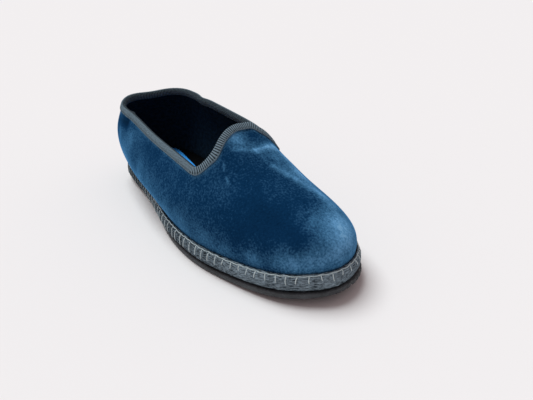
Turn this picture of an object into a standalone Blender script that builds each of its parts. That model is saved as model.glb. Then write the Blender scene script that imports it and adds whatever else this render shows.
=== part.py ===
"""A velvet slip-on slipper for the right foot: bound collar, stitched cloth sole, rubber outsole.

The toe points to -Y, the outer (lateral) side of the foot is -X, and +Z is up. The shoe stands
on z = 0. Sizes are in millimetres here and become metres where a mesh is made.
"""

from collections import namedtuple

import bmesh
import bpy
import numpy as np

MM = 0.001
UP = np.array((0.0, 0.0, 1.0))

# Driving dimensions of the shoe: the foot line's length, the width across the ball, and the height
# of the collar over the floor at the heel and at the tongue.
LENGTH = 250.0
BALL_WIDTH = 83.0
HEEL_HEIGHT = 69.0
INSTEP_HEIGHT = 81.0

# Layers of the sole, from the floor up, and the line of its tread.
OUTSOLE_THICKNESS = 4.3
CLOTH_SOLE_THICKNESS = 8.4
RIM_LIP_HEIGHT = 2.6
INSOLE_THICKNESS = 3.0
TOE_SPRING = 6.0
SPRING_START = 0.70
ARCH_LIFT = 2.0
ARCH_SPAN = (0.20, 0.58)

# Walls and clearances.
UPPER_WALL = 2.0
TAPE_THICKNESS = 0.6
TAPE_WIDTH = 4.3
TAPE_FOLD = 0.1
GAP = 0.3

# Swept grooves of the tread. They stop short of its edge, but notch it at the inner side of the toe.
GROOVE_WIDTH = 3.0
GROOVE_DEPTH = 1.8
GROOVE_PITCH = 9.0
GROOVE_SLANT = 0.15
GROOVE_BORDER = 5.0
GROOVE_LEAST_HALF = 6.0
NOTCH_START = 0.80
NOTCH_REACH = 4.0

# Steps of the meshes.
STEPS_PER_SECTION = 3
WALL_STEPS = 8
WALL_SAMPLES = 201
NORMAL_STEP = 0.002
SHARP_ANGLE = np.radians(40.0)

CLOTH_SOLE_BASE = OUTSOLE_THICKNESS + GAP
CLOTH_SOLE_TOP = CLOTH_SOLE_BASE + CLOTH_SOLE_THICKNESS
FOOT_LINE_HEIGHT = CLOTH_SOLE_TOP + RIM_LIP_HEIGHT

# One row for each section of the wall, from the back seam along a side of the foot to the toe.
# along: the foot line's share of the length, from the heel.
# foot, collar: shares of half the ball width, negative on the outer side.
# collar_at: the collar's share of the length. height: its share of a height that runs from the heel
# height at the back to the instep height at the tongue.
# lift, lean: how far up and out the wall leaves the foot line.
# swell, reach, drop: where the wall comes to the collar from: pushed out, carried a share of the way
# to the foot line, and lowered.
Section = namedtuple("Section", "along foot collar_at collar height lift lean swell reach drop")
BACK_SEAM = Section(0.000, -0.02, 0.060, 0.07, 0.996, 25.0, 10.0, 7.5, 0.10, 16.0)
OUTER_SIDE = (
    Section(0.022, -0.335, 0.065, -0.345, 1.002, 25.0, 10.0, 7.5, 0.10, 16.0),
    Section(0.075, -0.575, 0.108, -0.62, 0.945, 24.0, 9.5, 7.0, 0.10, 16.0),
    Section(0.160, -0.68, 0.197, -0.65, 0.900, 20.0, 11.5, 8.0, 0.10, 16.0),
    Section(0.280, -0.76, 0.324, -0.69, 0.830, 16.0, 14.0, 9.0, 0.10, 15.0),
    Section(0.400, -0.875, 0.452, -0.735, 0.780, 16.0, 13.0, 9.0, 0.10, 15.0),
    Section(0.510, -0.975, 0.590, -0.775, 0.740, 18.0, 10.0, 7.0, 0.15, 15.0),
    Section(0.610, -1.01, 0.645, -0.785, 0.730, 21.0, 7.0, 5.0, 0.20, 15.0),
    Section(0.700, -0.975, 0.665, -0.705, 0.772, 22.0, 6.0, 4.0, 0.30, 17.0),
    Section(0.790, -0.85, 0.679, -0.58, 0.857, 25.0, 5.0, 3.0, 0.40, 21.0),
    Section(0.875, -0.69, 0.674, -0.44, 0.935, 26.0, 5.0, 1.5, 0.44, 27.0),
    Section(0.940, -0.485, 0.666, -0.275, 0.985, 28.0, 5.0, 0.0, 0.46, 31.0),
    Section(0.983, -0.205, 0.660, -0.11, 0.997, 30.0, 5.0, 0.0, 0.47, 35.0),
)
TOE_TIP = Section(1.000, 0.09, 0.656, 0.025, 0.988, 29.0, 5.0, 0.0, 0.47, 36.0)
INNER_SIDE = (
    Section(0.022, 0.32, 0.070, 0.40, 1.002, 25.0, 10.0, 7.5, 0.10, 16.0),
    Section(0.075, 0.575, 0.112, 0.61, 1.005, 24.0, 9.5, 7.5, 0.10, 16.0),
    Section(0.160, 0.72, 0.196, 0.67, 0.988, 22.0, 8.0, 6.0, 0.10, 16.0),
    Section(0.280, 0.75, 0.324, 0.70, 0.925, 21.0, 7.0, 5.5, 0.10, 15.0),
    Section(0.400, 0.76, 0.452, 0.73, 0.865, 21.0, 7.0, 5.5, 0.10, 15.0),
    Section(0.510, 0.82, 0.548, 0.72, 0.817, 21.0, 6.0, 5.0, 0.15, 15.0),
    Section(0.610, 0.91, 0.609, 0.665, 0.775, 20.0, 5.0, 4.0, 0.20, 15.0),
    Section(0.700, 0.995, 0.652, 0.59, 0.767, 18.0, 4.0, 2.0, 0.25, 17.0),
    Section(0.790, 0.995, 0.662, 0.515, 0.812, 17.0, 4.0, 1.0, 0.32, 20.0),
    Section(0.875, 0.91, 0.663, 0.385, 0.887, 18.0, 4.5, 0.0, 0.38, 26.0),
    Section(0.940, 0.735, 0.662, 0.25, 0.942, 22.0, 4.5, 0.0, 0.44, 32.0),
    Section(0.983, 0.445, 0.658, 0.13, 0.982, 26.0, 4.5, 0.0, 0.47, 35.0),
)

# Sides of the sole's two layers, from the underside up. out is measured from the foot line, and up
# from the layer's underside.
EdgePoint = namedtuple("EdgePoint", "out up")
OUTSOLE_EDGE = (
    EdgePoint(1.2, 0.0),
    EdgePoint(2.2, 0.9),
    EdgePoint(2.4, 3.2),
    EdgePoint(1.8, OUTSOLE_THICKNESS),
)
# The padded rim of the cloth sole ends in a lip that stands clear of the upper.
LIP_CLEARANCE = 0.4
CLOTH_SOLE_EDGE = (
    EdgePoint(LIP_CLEARANCE, 0.0),
    EdgePoint(1.6, 0.5),
    EdgePoint(2.8, 2.0),
    EdgePoint(3.2, 4.4),
    EdgePoint(3.0, 7.0),
    EdgePoint(2.1, 8.8),
    EdgePoint(2.2, 9.9),
    EdgePoint(1.5, 10.8),
    EdgePoint(LIP_CLEARANCE, 10.7),
    EdgePoint(LIP_CLEARANCE, CLOTH_SOLE_THICKNESS),
)
# Between heel and ball the outsole is set in and the rim is flatter, over these shares of the length.
WAIST_INSET = 5.0
WAIST_INSET_SPAN = (-0.30, 0.64)
RIM_FLATTENING = 0.5
RIM_FLAT_SPAN = (-0.15, 0.60)

# Linear colour and roughness of each piece's material.
Finish = namedtuple("Finish", "name colour roughness")
VELVET = Finish("blue_velvet", (0.010, 0.050, 0.125), 0.85)
TAPE = Finish("grosgrain_tape", (0.075, 0.100, 0.120), 0.75)
CANVAS = Finish("quilted_canvas", (0.050, 0.068, 0.085), 0.90)
LINING = Finish("black_lining", (0.006, 0.006, 0.008), 0.90)
RUBBER = Finish("black_rubber", (0.012, 0.014, 0.016), 0.60)


def smooth_bump(share, span):
    """A rise and fall from 0 to 1 to 0 across a span, flat outside it."""
    start, end = span
    inside = np.clip((share - start) / (end - start), 0.0, 1.0)
    return np.sin(np.pi * inside) ** 2


def sole_lift(along):
    """Height of the tread line over the floor: toe spring in front and a low arch at the waist."""
    spring = TOE_SPRING * np.clip((along - SPRING_START) / (1.0 - SPRING_START), 0.0, None) ** 2
    return spring + ARCH_LIFT * smooth_bump(along, ARCH_SPAN)


def share_along(y):
    """Share of the length from the heel at a place along the shoe."""
    return 0.5 - y / LENGTH


def place_along(share):
    """Place along the shoe of a share of the length from the heel."""
    return (0.5 - share) * LENGTH


def unit(vectors):
    """The same directions with a length of one."""
    return vectors / np.linalg.norm(vectors, axis=1)[:, None]


def running(ring):
    """Directions along a closed line, at each of its points."""
    return np.roll(ring, -1, axis=0) - np.roll(ring, 1, axis=0)


def outward(ring):
    """Level directions out of a closed line that runs from the heel along the outer side to the toe."""
    along = running(ring)
    return unit(np.column_stack((along[:, 1], -along[:, 0], np.zeros(len(ring)))))


def ring_spline(knots, steps):
    """A smooth closed line through the knots, with this many points for each knot."""
    count = len(knots)
    after = np.roll(np.eye(count), 1, axis=1)
    slopes = np.linalg.solve(4.0 * np.eye(count) + after + after.T, 3.0 * running(knots))
    t = (np.arange(steps) / steps)[None, :, None]
    start, leave = knots[:, None], slopes[:, None]
    end, arrive = np.roll(start, -1, axis=0), np.roll(leave, -1, axis=0)
    line = (2 * t**3 - 3 * t**2 + 1) * start + (3 * t**2 - 2 * t**3) * end
    line = line + (t**3 - 2 * t**2 + t) * leave + (t**3 - t**2) * arrive
    return line.reshape(count * steps, knots.shape[1])


def wall_lines():
    """The foot line, lower wall, upper wall and collar, each smooth right round the shoe."""
    sections = (BACK_SEAM, *OUTER_SIDE, TOE_TIP, *reversed(INNER_SIDE))
    column = {name: np.array([getattr(s, name) for s in sections]) for name in Section._fields}
    half = BALL_WIDTH / 2
    foot_z = FOOT_LINE_HEIGHT + sole_lift(column["along"])
    foot = np.column_stack((half * column["foot"], place_along(column["along"]), foot_z))
    full_height = np.interp(
        column["collar_at"], (BACK_SEAM.collar_at, TOE_TIP.collar_at), (HEEL_HEIGHT, INSTEP_HEIGHT)
    )
    collar_z = column["height"] * full_height
    collar = np.column_stack((half * column["collar"], place_along(column["collar_at"]), collar_z))
    out = outward(foot)
    lower = foot + column["lift"][:, None] * UP + column["lean"][:, None] * out
    back_to_foot = (foot - collar) * (1.0 - UP)
    upper = collar + column["reach"][:, None] * back_to_foot + column["swell"][:, None] * out
    upper = upper - column["drop"][:, None] * UP
    return [ring_spline(knots, STEPS_PER_SECTION) for knots in (foot, lower, upper, collar)]


def wall_point(lines, share):
    """Points of the upper's outer face, a share of the way from the foot line to the collar."""
    foot, lower, upper, collar = lines
    s = np.asarray(share)[..., None]
    r = 1.0 - s
    return r**3 * foot + 3 * r**2 * s * lower + 3 * r * s**2 * upper + s**3 * collar


def wall_normal(lines, share):
    """Unit normals of the upper's outer face, pointing out."""
    above = wall_point(lines, np.minimum(share + NORMAL_STEP, 1.0))
    below = wall_point(lines, np.maximum(share - NORMAL_STEP, 0.0))
    return unit(np.cross(running(wall_point(lines, share)), above - below))


def collar_rise(lines):
    """Unit directions in the wall, square to the collar line and pointing up past it."""
    collar = lines[-1]
    return unit(np.cross(wall_normal(lines, np.ones(len(collar))), running(collar)))


def share_below_collar(lines, depth):
    """Share at which the outer face is this far below the collar, measured square to the collar."""
    shares = np.linspace(1.0, 0.0, WALL_SAMPLES)
    points = np.array([wall_point(lines, share) for share in shares])
    lengths = np.cumsum(np.linalg.norm(np.diff(points, axis=0), axis=2), axis=0)
    lengths = np.vstack((np.zeros(points.shape[1]), lengths))
    slant = np.einsum("ij,ij->i", collar_rise(lines), unit(lines[3] - lines[2]))
    return np.array([np.interp(depth / s, length, shares) for s, length in zip(slant, lengths.T)])


def wall_shares(lines):
    """Shares of the upper's lines: even steps up to the tape, then two more under it to the collar."""
    tape_edge = share_below_collar(lines, TAPE_WIDTH)
    shares = [tape_edge * step / WALL_STEPS for step in range(1, WALL_STEPS + 1)]
    shares.append(share_below_collar(lines, TAPE_WIDTH / 2))
    shares.append(np.ones(len(tape_edge)))
    return shares


def beside_wall(lines, share, off):
    """A line beside the wall, this far off its outer face."""
    return wall_point(lines, share) + off * wall_normal(lines, share)


def sole_line(lines, out, height):
    """A line beside the foot line, moved out, at a height over the tread line."""
    foot = lines[0]
    ring = foot + outward(foot) * np.asarray(out)[..., None]
    ring[:, 2] = sole_lift(share_along(foot[:, 1])) + height
    return ring


def add_rings(bm, rings):
    """Adds the points of each closed line and joins neighbouring lines with faces."""
    rows = [[bm.verts.new(point * MM) for point in ring] for ring in rings]
    for lower, upper in zip(rows, rows[1:]):
        for i in range(len(lower)):
            bm.faces.new((lower[i - 1], lower[i], upper[i], upper[i - 1]))
    return rows


def fill_across(bm, row):
    """Fills a closed line from side to side, so that the fill follows the toe spring and the arch."""
    for i in range(len(row) // 2):
        corners = (row[i], row[i + 1], row[-i - 1], row[-i])
        bm.faces.new(tuple(dict.fromkeys(corners)))


def make_object(name, bm, finish):
    """Makes a named object with one material and smooth round faces."""
    bmesh.ops.recalc_face_normals(bm, faces=bm.faces)
    mesh = bpy.data.meshes.new(name)
    bm.to_mesh(mesh)
    bm.free()
    material = bpy.data.materials.new(finish.name)
    material.use_nodes = True
    shader = material.node_tree.nodes["Principled BSDF"]
    shader.inputs["Base Color"].default_value = (*finish.colour, 1.0)
    shader.inputs["Roughness"].default_value = finish.roughness
    shader.inputs["Metallic"].default_value = 0.0
    mesh.materials.append(material)
    mesh.shade_smooth()
    mesh.set_sharp_from_angle(angle=SHARP_ANGLE)
    piece = bpy.data.objects.new(name, mesh)
    bpy.context.scene.collection.objects.link(piece)
    return piece


def make_hoop(name, rings, finish):
    """A hollow solid: closed lines joined in turn, and the last to the first."""
    bm = bmesh.new()
    rows = add_rings(bm, rings)
    first, last = rows[0], rows[-1]
    for i in range(len(first)):
        bm.faces.new((last[i - 1], last[i], first[i], first[i - 1]))
    return make_object(name, bm, finish)


def make_plate(name, rings, finish):
    """A solid layer of the sole: closed lines joined in turn, filled across below and on top."""
    bm = bmesh.new()
    rows = add_rings(bm, rings)
    fill_across(bm, rows[0])
    fill_across(bm, rows[-1])
    return make_object(name, bm, finish)


def make_upper(lines):
    """The velvet upper: one wall, open at the collar and underneath, set into the rim's lip."""
    shares = wall_shares(lines)
    tuck = (RIM_LIP_HEIGHT - GAP) * UP
    foot = lines[0]
    foot_inside = foot - UPPER_WALL * outward(foot)
    outer = [wall_point(lines, share) for share in shares]
    inner = [beside_wall(lines, share, -UPPER_WALL) for share in reversed(shares)]
    return make_hoop("upper", [foot - tuck, foot, *outer, *inner, foot_inside, foot_inside - tuck], VELVET)


def tape_leg(lines, off):
    """Lines up one face of the tape, from its edge to the fold, this far off the upper's outer face."""
    low, middle, top = (beside_wall(lines, share, off) for share in wall_shares(lines)[-3:])
    return [low, middle, top + GAP * collar_rise(lines)]


def make_collar_binding(lines):
    """The grosgrain tape folded over the collar, clear of the upper by the gap."""
    face = GAP + TAPE_THICKNESS
    collar = np.ones(len(lines[0]))
    fold = beside_wall(lines, collar, -UPPER_WALL / 2) + (face + TAPE_FOLD) * collar_rise(lines)
    outside = [*tape_leg(lines, face), fold, *reversed(tape_leg(lines, -UPPER_WALL - face))]
    inside = [*tape_leg(lines, -UPPER_WALL - GAP), *reversed(tape_leg(lines, GAP))]
    return make_hoop("collar_binding", outside + inside, TAPE)


def make_cloth_sole(lines):
    """The padded cloth sole: a plate with a rounded rim and a lip that holds the upper."""
    flattening = RIM_FLATTENING * smooth_bump(share_along(lines[0][:, 1]), RIM_FLAT_SPAN)
    rings = []
    for point in CLOTH_SOLE_EDGE:
        out = point.out - (point.out - LIP_CLEARANCE) * flattening
        rings.append(sole_line(lines, out, CLOTH_SOLE_BASE + point.up))
    return make_plate("cloth_sole", rings, CANVAS)


def make_insole(lines):
    """The lining sock: a flat pad on the cloth sole, inside the upper."""
    out = -UPPER_WALL - 2 * GAP
    base = CLOTH_SOLE_TOP + GAP
    rings = [sole_line(lines, out, base), sole_line(lines, out, base + INSOLE_THICKNESS)]
    return make_plate("insole", rings, LINING)


def tread_ring(lines, point):
    """A line of the outsole's side, set in at the waist."""
    inset = WAIST_INSET * smooth_bump(share_along(lines[0][:, 1]), WAIST_INSET_SPAN)
    return sole_line(lines, point.out - inset, point.up)


def groove_ends(lines, y):
    """Places on the outer and the inner side between which a groove runs."""
    edge = tread_ring(lines, OUTSOLE_EDGE[0])
    toe = len(edge) // 2
    outer, inner = edge[toe::-1], edge[toe:]
    border = GROOVE_BORDER if share_along(y) < NOTCH_START else -NOTCH_REACH
    outer_end = np.interp(y, outer[:, 1], outer[:, 0]) + GROOVE_BORDER
    inner_end = np.interp(y, inner[:, 1], inner[:, 0]) - border
    return outer_end, inner_end


def make_tread_cutter(lines):
    """Swept grooves across the tread, as separate prisms with a bend on the middle line."""
    bm = bmesh.new()
    half = np.array((0.0, GROOVE_WIDTH / 2))
    for i in range(int(LENGTH / GROOVE_PITCH) + 2):
        y = place_along(0.0) - (i - 0.5) * GROOVE_PITCH
        ends = groove_ends(lines, y)
        if -ends[0] < GROOVE_LEAST_HALF or ends[1] < GROOVE_LEAST_HALF:
            continue
        bend = np.array([(x, y + GROOVE_SLANT * abs(x)) for x in (ends[0], 0.0, ends[1])])
        outline = [*(bend - half), *(bend + half)[::-1]]
        rows = []
        for height in (-OUTSOLE_THICKNESS, GROOVE_DEPTH):
            lift = [float(sole_lift(share_along(point[1]))) + height for point in outline]
            rows.append([bm.verts.new((*(point * MM), z * MM)) for point, z in zip(outline, lift)])
        low, high = rows
        for j in range(len(outline)):
            bm.faces.new((low[j - 1], low[j], high[j], high[j - 1]))
        for row in rows:
            bm.faces.new((row[0], row[1], row[4], row[5]))
            bm.faces.new((row[1], row[2], row[3], row[4]))
    cutter = make_object("tread_cutter", bm, RUBBER)
    cutter.hide_render = True
    cutter.display_type = "WIRE"
    return cutter


def make_outsole(lines):
    """The rubber outsole, waisted between heel and ball, with grooves across its tread."""
    outsole = make_plate("outsole", [tread_ring(lines, point) for point in OUTSOLE_EDGE], RUBBER)
    grooves = outsole.modifiers.new("tread_grooves", "BOOLEAN")
    grooves.operation = "DIFFERENCE"
    grooves.object = make_tread_cutter(lines)
    return outsole


def main():
    """Clears the scene and builds the slipper."""
    for piece in list(bpy.data.objects):
        bpy.data.objects.remove(piece)
    slipper = bpy.data.objects.new("slipper", None)
    bpy.context.scene.collection.objects.link(slipper)
    lines = wall_lines()
    for make in (make_outsole, make_cloth_sole, make_insole, make_upper, make_collar_binding):
        make(lines).parent = slipper


main()
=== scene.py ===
"""Looks of a velvet slip-on slipper for the right foot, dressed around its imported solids.

The toe points to -Y, the outer side of the foot is -X, +Z is up and the floor is z = 0. Shapes are
worked out in millimetres and become metres where a mesh is made.
"""

import logging
import math
from collections.abc import Callable
from dataclasses import dataclass, field
from enum import Enum
from typing import NamedTuple

import bmesh
import bpy
import numpy as np
from mathutils import Matrix, Vector


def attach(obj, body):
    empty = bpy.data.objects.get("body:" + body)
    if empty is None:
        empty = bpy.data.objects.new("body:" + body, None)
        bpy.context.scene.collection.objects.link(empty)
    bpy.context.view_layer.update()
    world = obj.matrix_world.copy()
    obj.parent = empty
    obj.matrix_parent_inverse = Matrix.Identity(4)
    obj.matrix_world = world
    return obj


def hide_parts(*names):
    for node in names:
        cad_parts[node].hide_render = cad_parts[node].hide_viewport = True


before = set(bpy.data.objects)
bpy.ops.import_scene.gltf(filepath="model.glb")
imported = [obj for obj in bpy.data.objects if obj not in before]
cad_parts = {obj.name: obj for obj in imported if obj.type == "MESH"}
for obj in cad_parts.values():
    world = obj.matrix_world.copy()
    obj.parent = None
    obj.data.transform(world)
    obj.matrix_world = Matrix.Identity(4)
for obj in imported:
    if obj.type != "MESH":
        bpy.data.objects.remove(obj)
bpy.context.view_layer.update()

LOG = logging.getLogger("slipper")
MM = 0.001
UP = np.array((0.0, 0.0, 1.0))
BODY = "root"
TONE = "tone"
# Points that are closer than this, in metres, become one.
WELD = 1e-7
# A gap too small to see, in millimetres.
HAIR = 0.05
# Short steps over which slopes are measured: places round the shoe, and shares of a length.
NEAR_TURN = 0.02
NEAR_SHARE = 0.01
# Spacing of a wave texture's bands at a scale of 1.
WAVE_SPACING = math.tau / 20.0
# A Math node that weighs its first value by its second and adds the third.
WEIGH = {"operation": "MULTIPLY_ADD"}
MULTIPLY = {"operation": "MULTIPLY"}
Array = np.ndarray
Place = Callable[[Array, Array], Array]
Stops = tuple[tuple[float, str], ...]


def srgb(code: str) -> tuple[float, float, float, float]:
    """Turn an sRGB hex colour to linear.

    Args:
        code: Six hex digits, with a leading hash.

    Returns:
        Linear red, green, blue and a full alpha.
    """
    values = []
    for start in (1, 3, 5):
        value = int(code[start : start + 2], 16) / 255
        values.append(value / 12.92 if value <= 0.04045 else ((value + 0.055) / 1.055) ** 2.4)
    return (*values, 1.0)


def bump(share: Array, start: float, end: float) -> Array:
    """Rise and fall smoothly from 0 to 1 to 0 between two ends, and stay 0 outside them."""
    inside = np.clip((share - start) / (end - start), 0.0, 1.0)
    return np.sin(np.pi * inside) ** 2


def step_up(value: Array, start: float, end: float) -> Array:
    """Rise smoothly from 0 at the start to 1 at the end."""
    inside = np.clip((value - start) / (end - start), 0.0, 1.0)
    return inside * inside * (3.0 - 2.0 * inside)


def unit(vectors: Array) -> Array:
    """Give vectors a length of one."""
    return vectors / np.maximum(np.linalg.norm(vectors, axis=-1, keepdims=True), 1e-12)


def scatter(index: Array, seed: float) -> Array:
    """Give each whole number its own fixed value from -1 to 1, so that repeats are not all alike."""
    wave = np.sin(np.asarray(index, float) * 12.9898 + seed * 78.233) * 43758.5453
    return 2.0 * (wave - np.floor(wave)) - 1.0


class Section(NamedTuple):
    """A section of the wall: a curve from the foot line to the collar, drawn by two handles.

    Attributes:
        along: Share of the length at the foot line.
        foot: How far across the foot line is, as a share of half the ball's width.
        collar_at: Share of the length at the collar.
        collar: How far across the collar is, as a share of half the ball's width.
        height: Height of the collar, as a share of the heel's or the tongue's.
        lift: How far the lower handle is above the foot line.
        lean: How far the lower handle leans out.
        swell: How far the upper handle stands out.
        reach: How far the upper handle goes from the collar to the foot line, as a share.
        drop: How far the upper handle is below the collar.
    """

    along: float
    foot: float
    collar_at: float
    collar: float
    height: float
    lift: float
    lean: float
    swell: float
    reach: float
    drop: float


BACK_SEAM = Section(0.000, -0.02, 0.060, 0.07, 0.996, 25.0, 10.0, 7.5, 0.10, 16.0)
OUTER_SIDE = (
    Section(0.022, -0.335, 0.065, -0.345, 1.002, 25.0, 10.0, 7.5, 0.10, 16.0),
    Section(0.075, -0.575, 0.108, -0.62, 0.945, 24.0, 9.5, 7.0, 0.10, 16.0),
    Section(0.160, -0.68, 0.197, -0.65, 0.900, 20.0, 11.5, 8.0, 0.10, 16.0),
    Section(0.280, -0.76, 0.324, -0.69, 0.830, 16.0, 14.0, 9.0, 0.10, 15.0),
    Section(0.400, -0.875, 0.452, -0.735, 0.780, 16.0, 13.0, 9.0, 0.10, 15.0),
    Section(0.510, -0.975, 0.590, -0.775, 0.740, 18.0, 10.0, 7.0, 0.15, 15.0),
    Section(0.610, -1.01, 0.645, -0.785, 0.730, 21.0, 7.0, 5.0, 0.20, 15.0),
    Section(0.700, -0.975, 0.665, -0.705, 0.772, 22.0, 6.0, 4.0, 0.30, 17.0),
    Section(0.790, -0.85, 0.679, -0.58, 0.857, 25.0, 5.0, 3.0, 0.40, 21.0),
    Section(0.875, -0.69, 0.674, -0.44, 0.935, 26.0, 5.0, 1.5, 0.44, 27.0),
    Section(0.940, -0.485, 0.666, -0.275, 0.985, 28.0, 5.0, 0.0, 0.46, 31.0),
    Section(0.983, -0.205, 0.660, -0.11, 0.997, 30.0, 5.0, 0.0, 0.47, 35.0),
)
TOE_TIP = Section(1.000, 0.09, 0.656, 0.025, 0.988, 29.0, 5.0, 0.0, 0.47, 36.0)
INNER_SIDE = (
    Section(0.022, 0.32, 0.070, 0.40, 1.002, 25.0, 10.0, 7.5, 0.10, 16.0),
    Section(0.075, 0.575, 0.112, 0.61, 1.005, 24.0, 9.5, 7.5, 0.10, 16.0),
    Section(0.160, 0.72, 0.196, 0.67, 0.988, 22.0, 8.0, 6.0, 0.10, 16.0),
    Section(0.280, 0.75, 0.324, 0.70, 0.925, 21.0, 7.0, 5.5, 0.10, 15.0),
    Section(0.400, 0.76, 0.452, 0.73, 0.865, 21.0, 7.0, 5.5, 0.10, 15.0),
    Section(0.510, 0.82, 0.548, 0.72, 0.817, 21.0, 6.0, 5.0, 0.15, 15.0),
    Section(0.610, 0.91, 0.609, 0.665, 0.775, 20.0, 5.0, 4.0, 0.20, 15.0),
    Section(0.700, 0.995, 0.652, 0.59, 0.767, 18.0, 4.0, 2.0, 0.25, 17.0),
    Section(0.790, 0.995, 0.662, 0.515, 0.812, 17.0, 4.0, 1.0, 0.32, 20.0),
    Section(0.875, 0.91, 0.663, 0.385, 0.887, 18.0, 4.5, 0.0, 0.38, 26.0),
    Section(0.940, 0.735, 0.662, 0.25, 0.942, 22.0, 4.5, 0.0, 0.44, 32.0),
    Section(0.983, 0.445, 0.658, 0.13, 0.982, 26.0, 4.5, 0.0, 0.47, 35.0),
)


class Crease(NamedTuple):
    """A fold of the velvet from one place to another.

    Attributes:
        start: One end.
        end: The other end.
        width: How far from its line the fold fades.
        depth: How far it stands out, below 0 for a trough.
        lay_and_light: How much lighter it is drawn, below 0 for darker: painted highlight on ridges,
            painted shade in troughs, lighter streaks where it is flat.
    """

    start: tuple[float, float, float]
    end: tuple[float, float, float]
    width: float
    depth: float
    lay_and_light: float

    def strength(self, points: Array) -> Array:
        """Tell how strongly the crease acts at each point, from 0 to 1."""
        start = np.array(self.start)
        run = np.array(self.end) - start
        share = np.clip((points - start) @ run / (run @ run), 0.0, 1.0)
        away = np.linalg.norm(points - start - share[..., None] * run, axis=-1)
        return np.exp(-((away / self.width) ** 2))


class ToneSpot(NamedTuple):
    """A patch of drawn tone: partly the lay of the pile, partly painted highlight and painted shade.

    Attributes:
        place: Its middle.
        radius: How far from its middle the patch fades.
        light: How much lighter it is drawn, below 0 for darker.
    """

    place: tuple[float, float, float]
    radius: float
    light: float

    def strength(self, points: Array) -> Array:
        """Tell how strongly the patch acts at each point, from 0 to 1."""
        away = np.linalg.norm(points - np.array(self.place), axis=-1)
        return np.exp(-((away / self.radius) ** 2))


# Folds along the inner ridge of the vamp and beside it, across the foot of the tongue, two short marks
# beside the throat, the heel's outer corner, the inner quarter, both flanks and the toe, then lighter
# streaks on the inner flank and round the heel. The ridges carry a painted highlight and the troughs a
# painted shade.
CREASES = (
    Crease((8.7, -54.0, 68.0), (15.6, -51.6, 65.0), 2.6, 0.4, 0.6),
    Crease((13.5, -51.4, 66.7), (17.5, -59.3, 59.7), 3.0, 0.5, 0.4),
    Crease((17.5, -59.3, 59.7), (18.3, -73.0, 53.5), 4.0, 0.5, 0.35),
    Crease((18.3, -73.0, 53.5), (19.6, -98.9, 43.6), 5.0, 0.4, 0.4),
    Crease((-0.8, -56.1, 67.8), (3.0, -67.8, 61.1), 1.8, 0.35, 0.12),
    Crease((3.0, -67.8, 61.1), (11.1, -79.2, 54.6), 2.2, 0.4, 0.32),
    Crease((11.1, -79.2, 54.6), (19.0, -92.0, 46.0), 3.4, 0.3, 0.32),
    Crease((-13.5, -51.2, 71.3), (-0.8, -55.0, 68.5), 1.7, -0.35, 0.35),
    Crease((-0.8, -55.0, 68.5), (8.7, -54.0, 68.0), 1.8, 0.35, 0.6),
    Crease((-22.3, -53.2, 64.7), (-23.3, -55.6, 62.0), 0.7, 0.1, 0.3),
    Crease((-24.2, -58.7, 59.5), (-24.9, -61.6, 56.8), 0.7, 0.1, 0.25),
    Crease((-27.0, 97.0, 57.0), (-29.0, 96.0, 46.0), 5.0, -1.2, -0.3),
    Crease((-31.5, 91.0, 57.0), (-30.0, 78.0, 57.0), 4.0, -0.7, -0.5),
    Crease((28.0, 62.0, 70.0), (31.0, 58.0, 56.0), 6.0, -1.2, -0.2),
    Crease((-36.5, 40.0, 40.0), (-39.0, 10.0, 36.0), 10.0, -0.6, 0.0),
    Crease((34.0, 10.0, 44.0), (36.0, -20.0, 38.0), 9.0, -0.6, 0.0),
    Crease((-20.0, -108.0, 30.0), (4.0, -117.0, 29.0), 9.0, 0.35, 0.1),
    Crease((36.0, -90.0, 25.0), (40.0, -45.0, 23.0), 10.0, 0.0, 0.22),
    Crease((40.0, -45.0, 23.0), (35.0, 30.0, 26.0), 9.0, 0.0, 0.16),
    Crease((37.0, 45.0, 46.0), (34.0, 85.0, 34.0), 10.0, 0.0, 0.2),
    Crease((20.0, 115.0, 38.0), (-22.0, 114.0, 30.0), 10.0, 0.0, 0.2),
)

# Patches of drawn tone, partly the lay of the pile and partly painted highlight and painted shade: light
# round the toe and along the hem of the outer flank, light and dark on the tongue, dark over the outer
# side of the vamp, and light again between that and the ridge.
TONE_SPOTS = (
    ToneSpot((13.0, -118.5, 35.0), 13.0, 0.85),
    ToneSpot((16.0, -110.0, 40.0), 10.0, 0.40),
    ToneSpot((1.6, -124.0, 30.0), 8.0, 0.40),
    ToneSpot((-8.0, -121.0, 28.0), 7.0, 0.35),
    ToneSpot((-15.0, -115.5, 25.0), 7.0, 0.40),
    ToneSpot((-21.0, -109.5, 25.0), 7.0, 0.35),
    ToneSpot((-29.5, -92.0, 23.0), 8.0, 0.35),
    ToneSpot((-36.5, -73.0, 20.0), 9.0, 0.30),
    ToneSpot((-41.0, -55.0, 21.0), 10.0, 0.30),
    ToneSpot((-44.0, -33.0, 24.0), 9.0, 0.25),
    ToneSpot((-45.0, -12.0, 26.0), 10.0, 0.25),
    ToneSpot((-43.5, 13.0, 29.0), 11.0, 0.22),
    ToneSpot((-41.0, 35.0, 32.0), 11.0, 0.20),
    ToneSpot((-36.0, 75.0, 34.0), 13.0, 0.24),
    ToneSpot((-33.7, 64.8, 50.6), 7.0, 0.25),
    ToneSpot((-11.0, -46.0, 76.5), 5.5, 0.4),
    ToneSpot((-7.0, -48.5, 74.5), 3.0, 0.35),
    ToneSpot((1.2, -46.1, 74.5), 4.5, -0.15),
    ToneSpot((-2.0, -49.0, 73.0), 11.0, 0.20),
    ToneSpot((-23.0, -86.0, 46.0), 18.0, -0.10),
    ToneSpot((-18.7, -98.0, 43.5), 13.0, -0.10),
    ToneSpot((-12.5, -111.8, 38.5), 9.0, -0.10),
    ToneSpot((-28.0, -62.7, 53.4), 9.0, 0.06),
    ToneSpot((-13.0, -86.0, 52.0), 8.0, 0.08),
    ToneSpot((9.0, -61.0, 63.5), 6.0, 0.25),
    ToneSpot((12.0, -71.0, 57.5), 7.0, 0.3),
    ToneSpot((-4.0, -109.6, 43.6), 7.0, 0.15),
)


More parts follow.
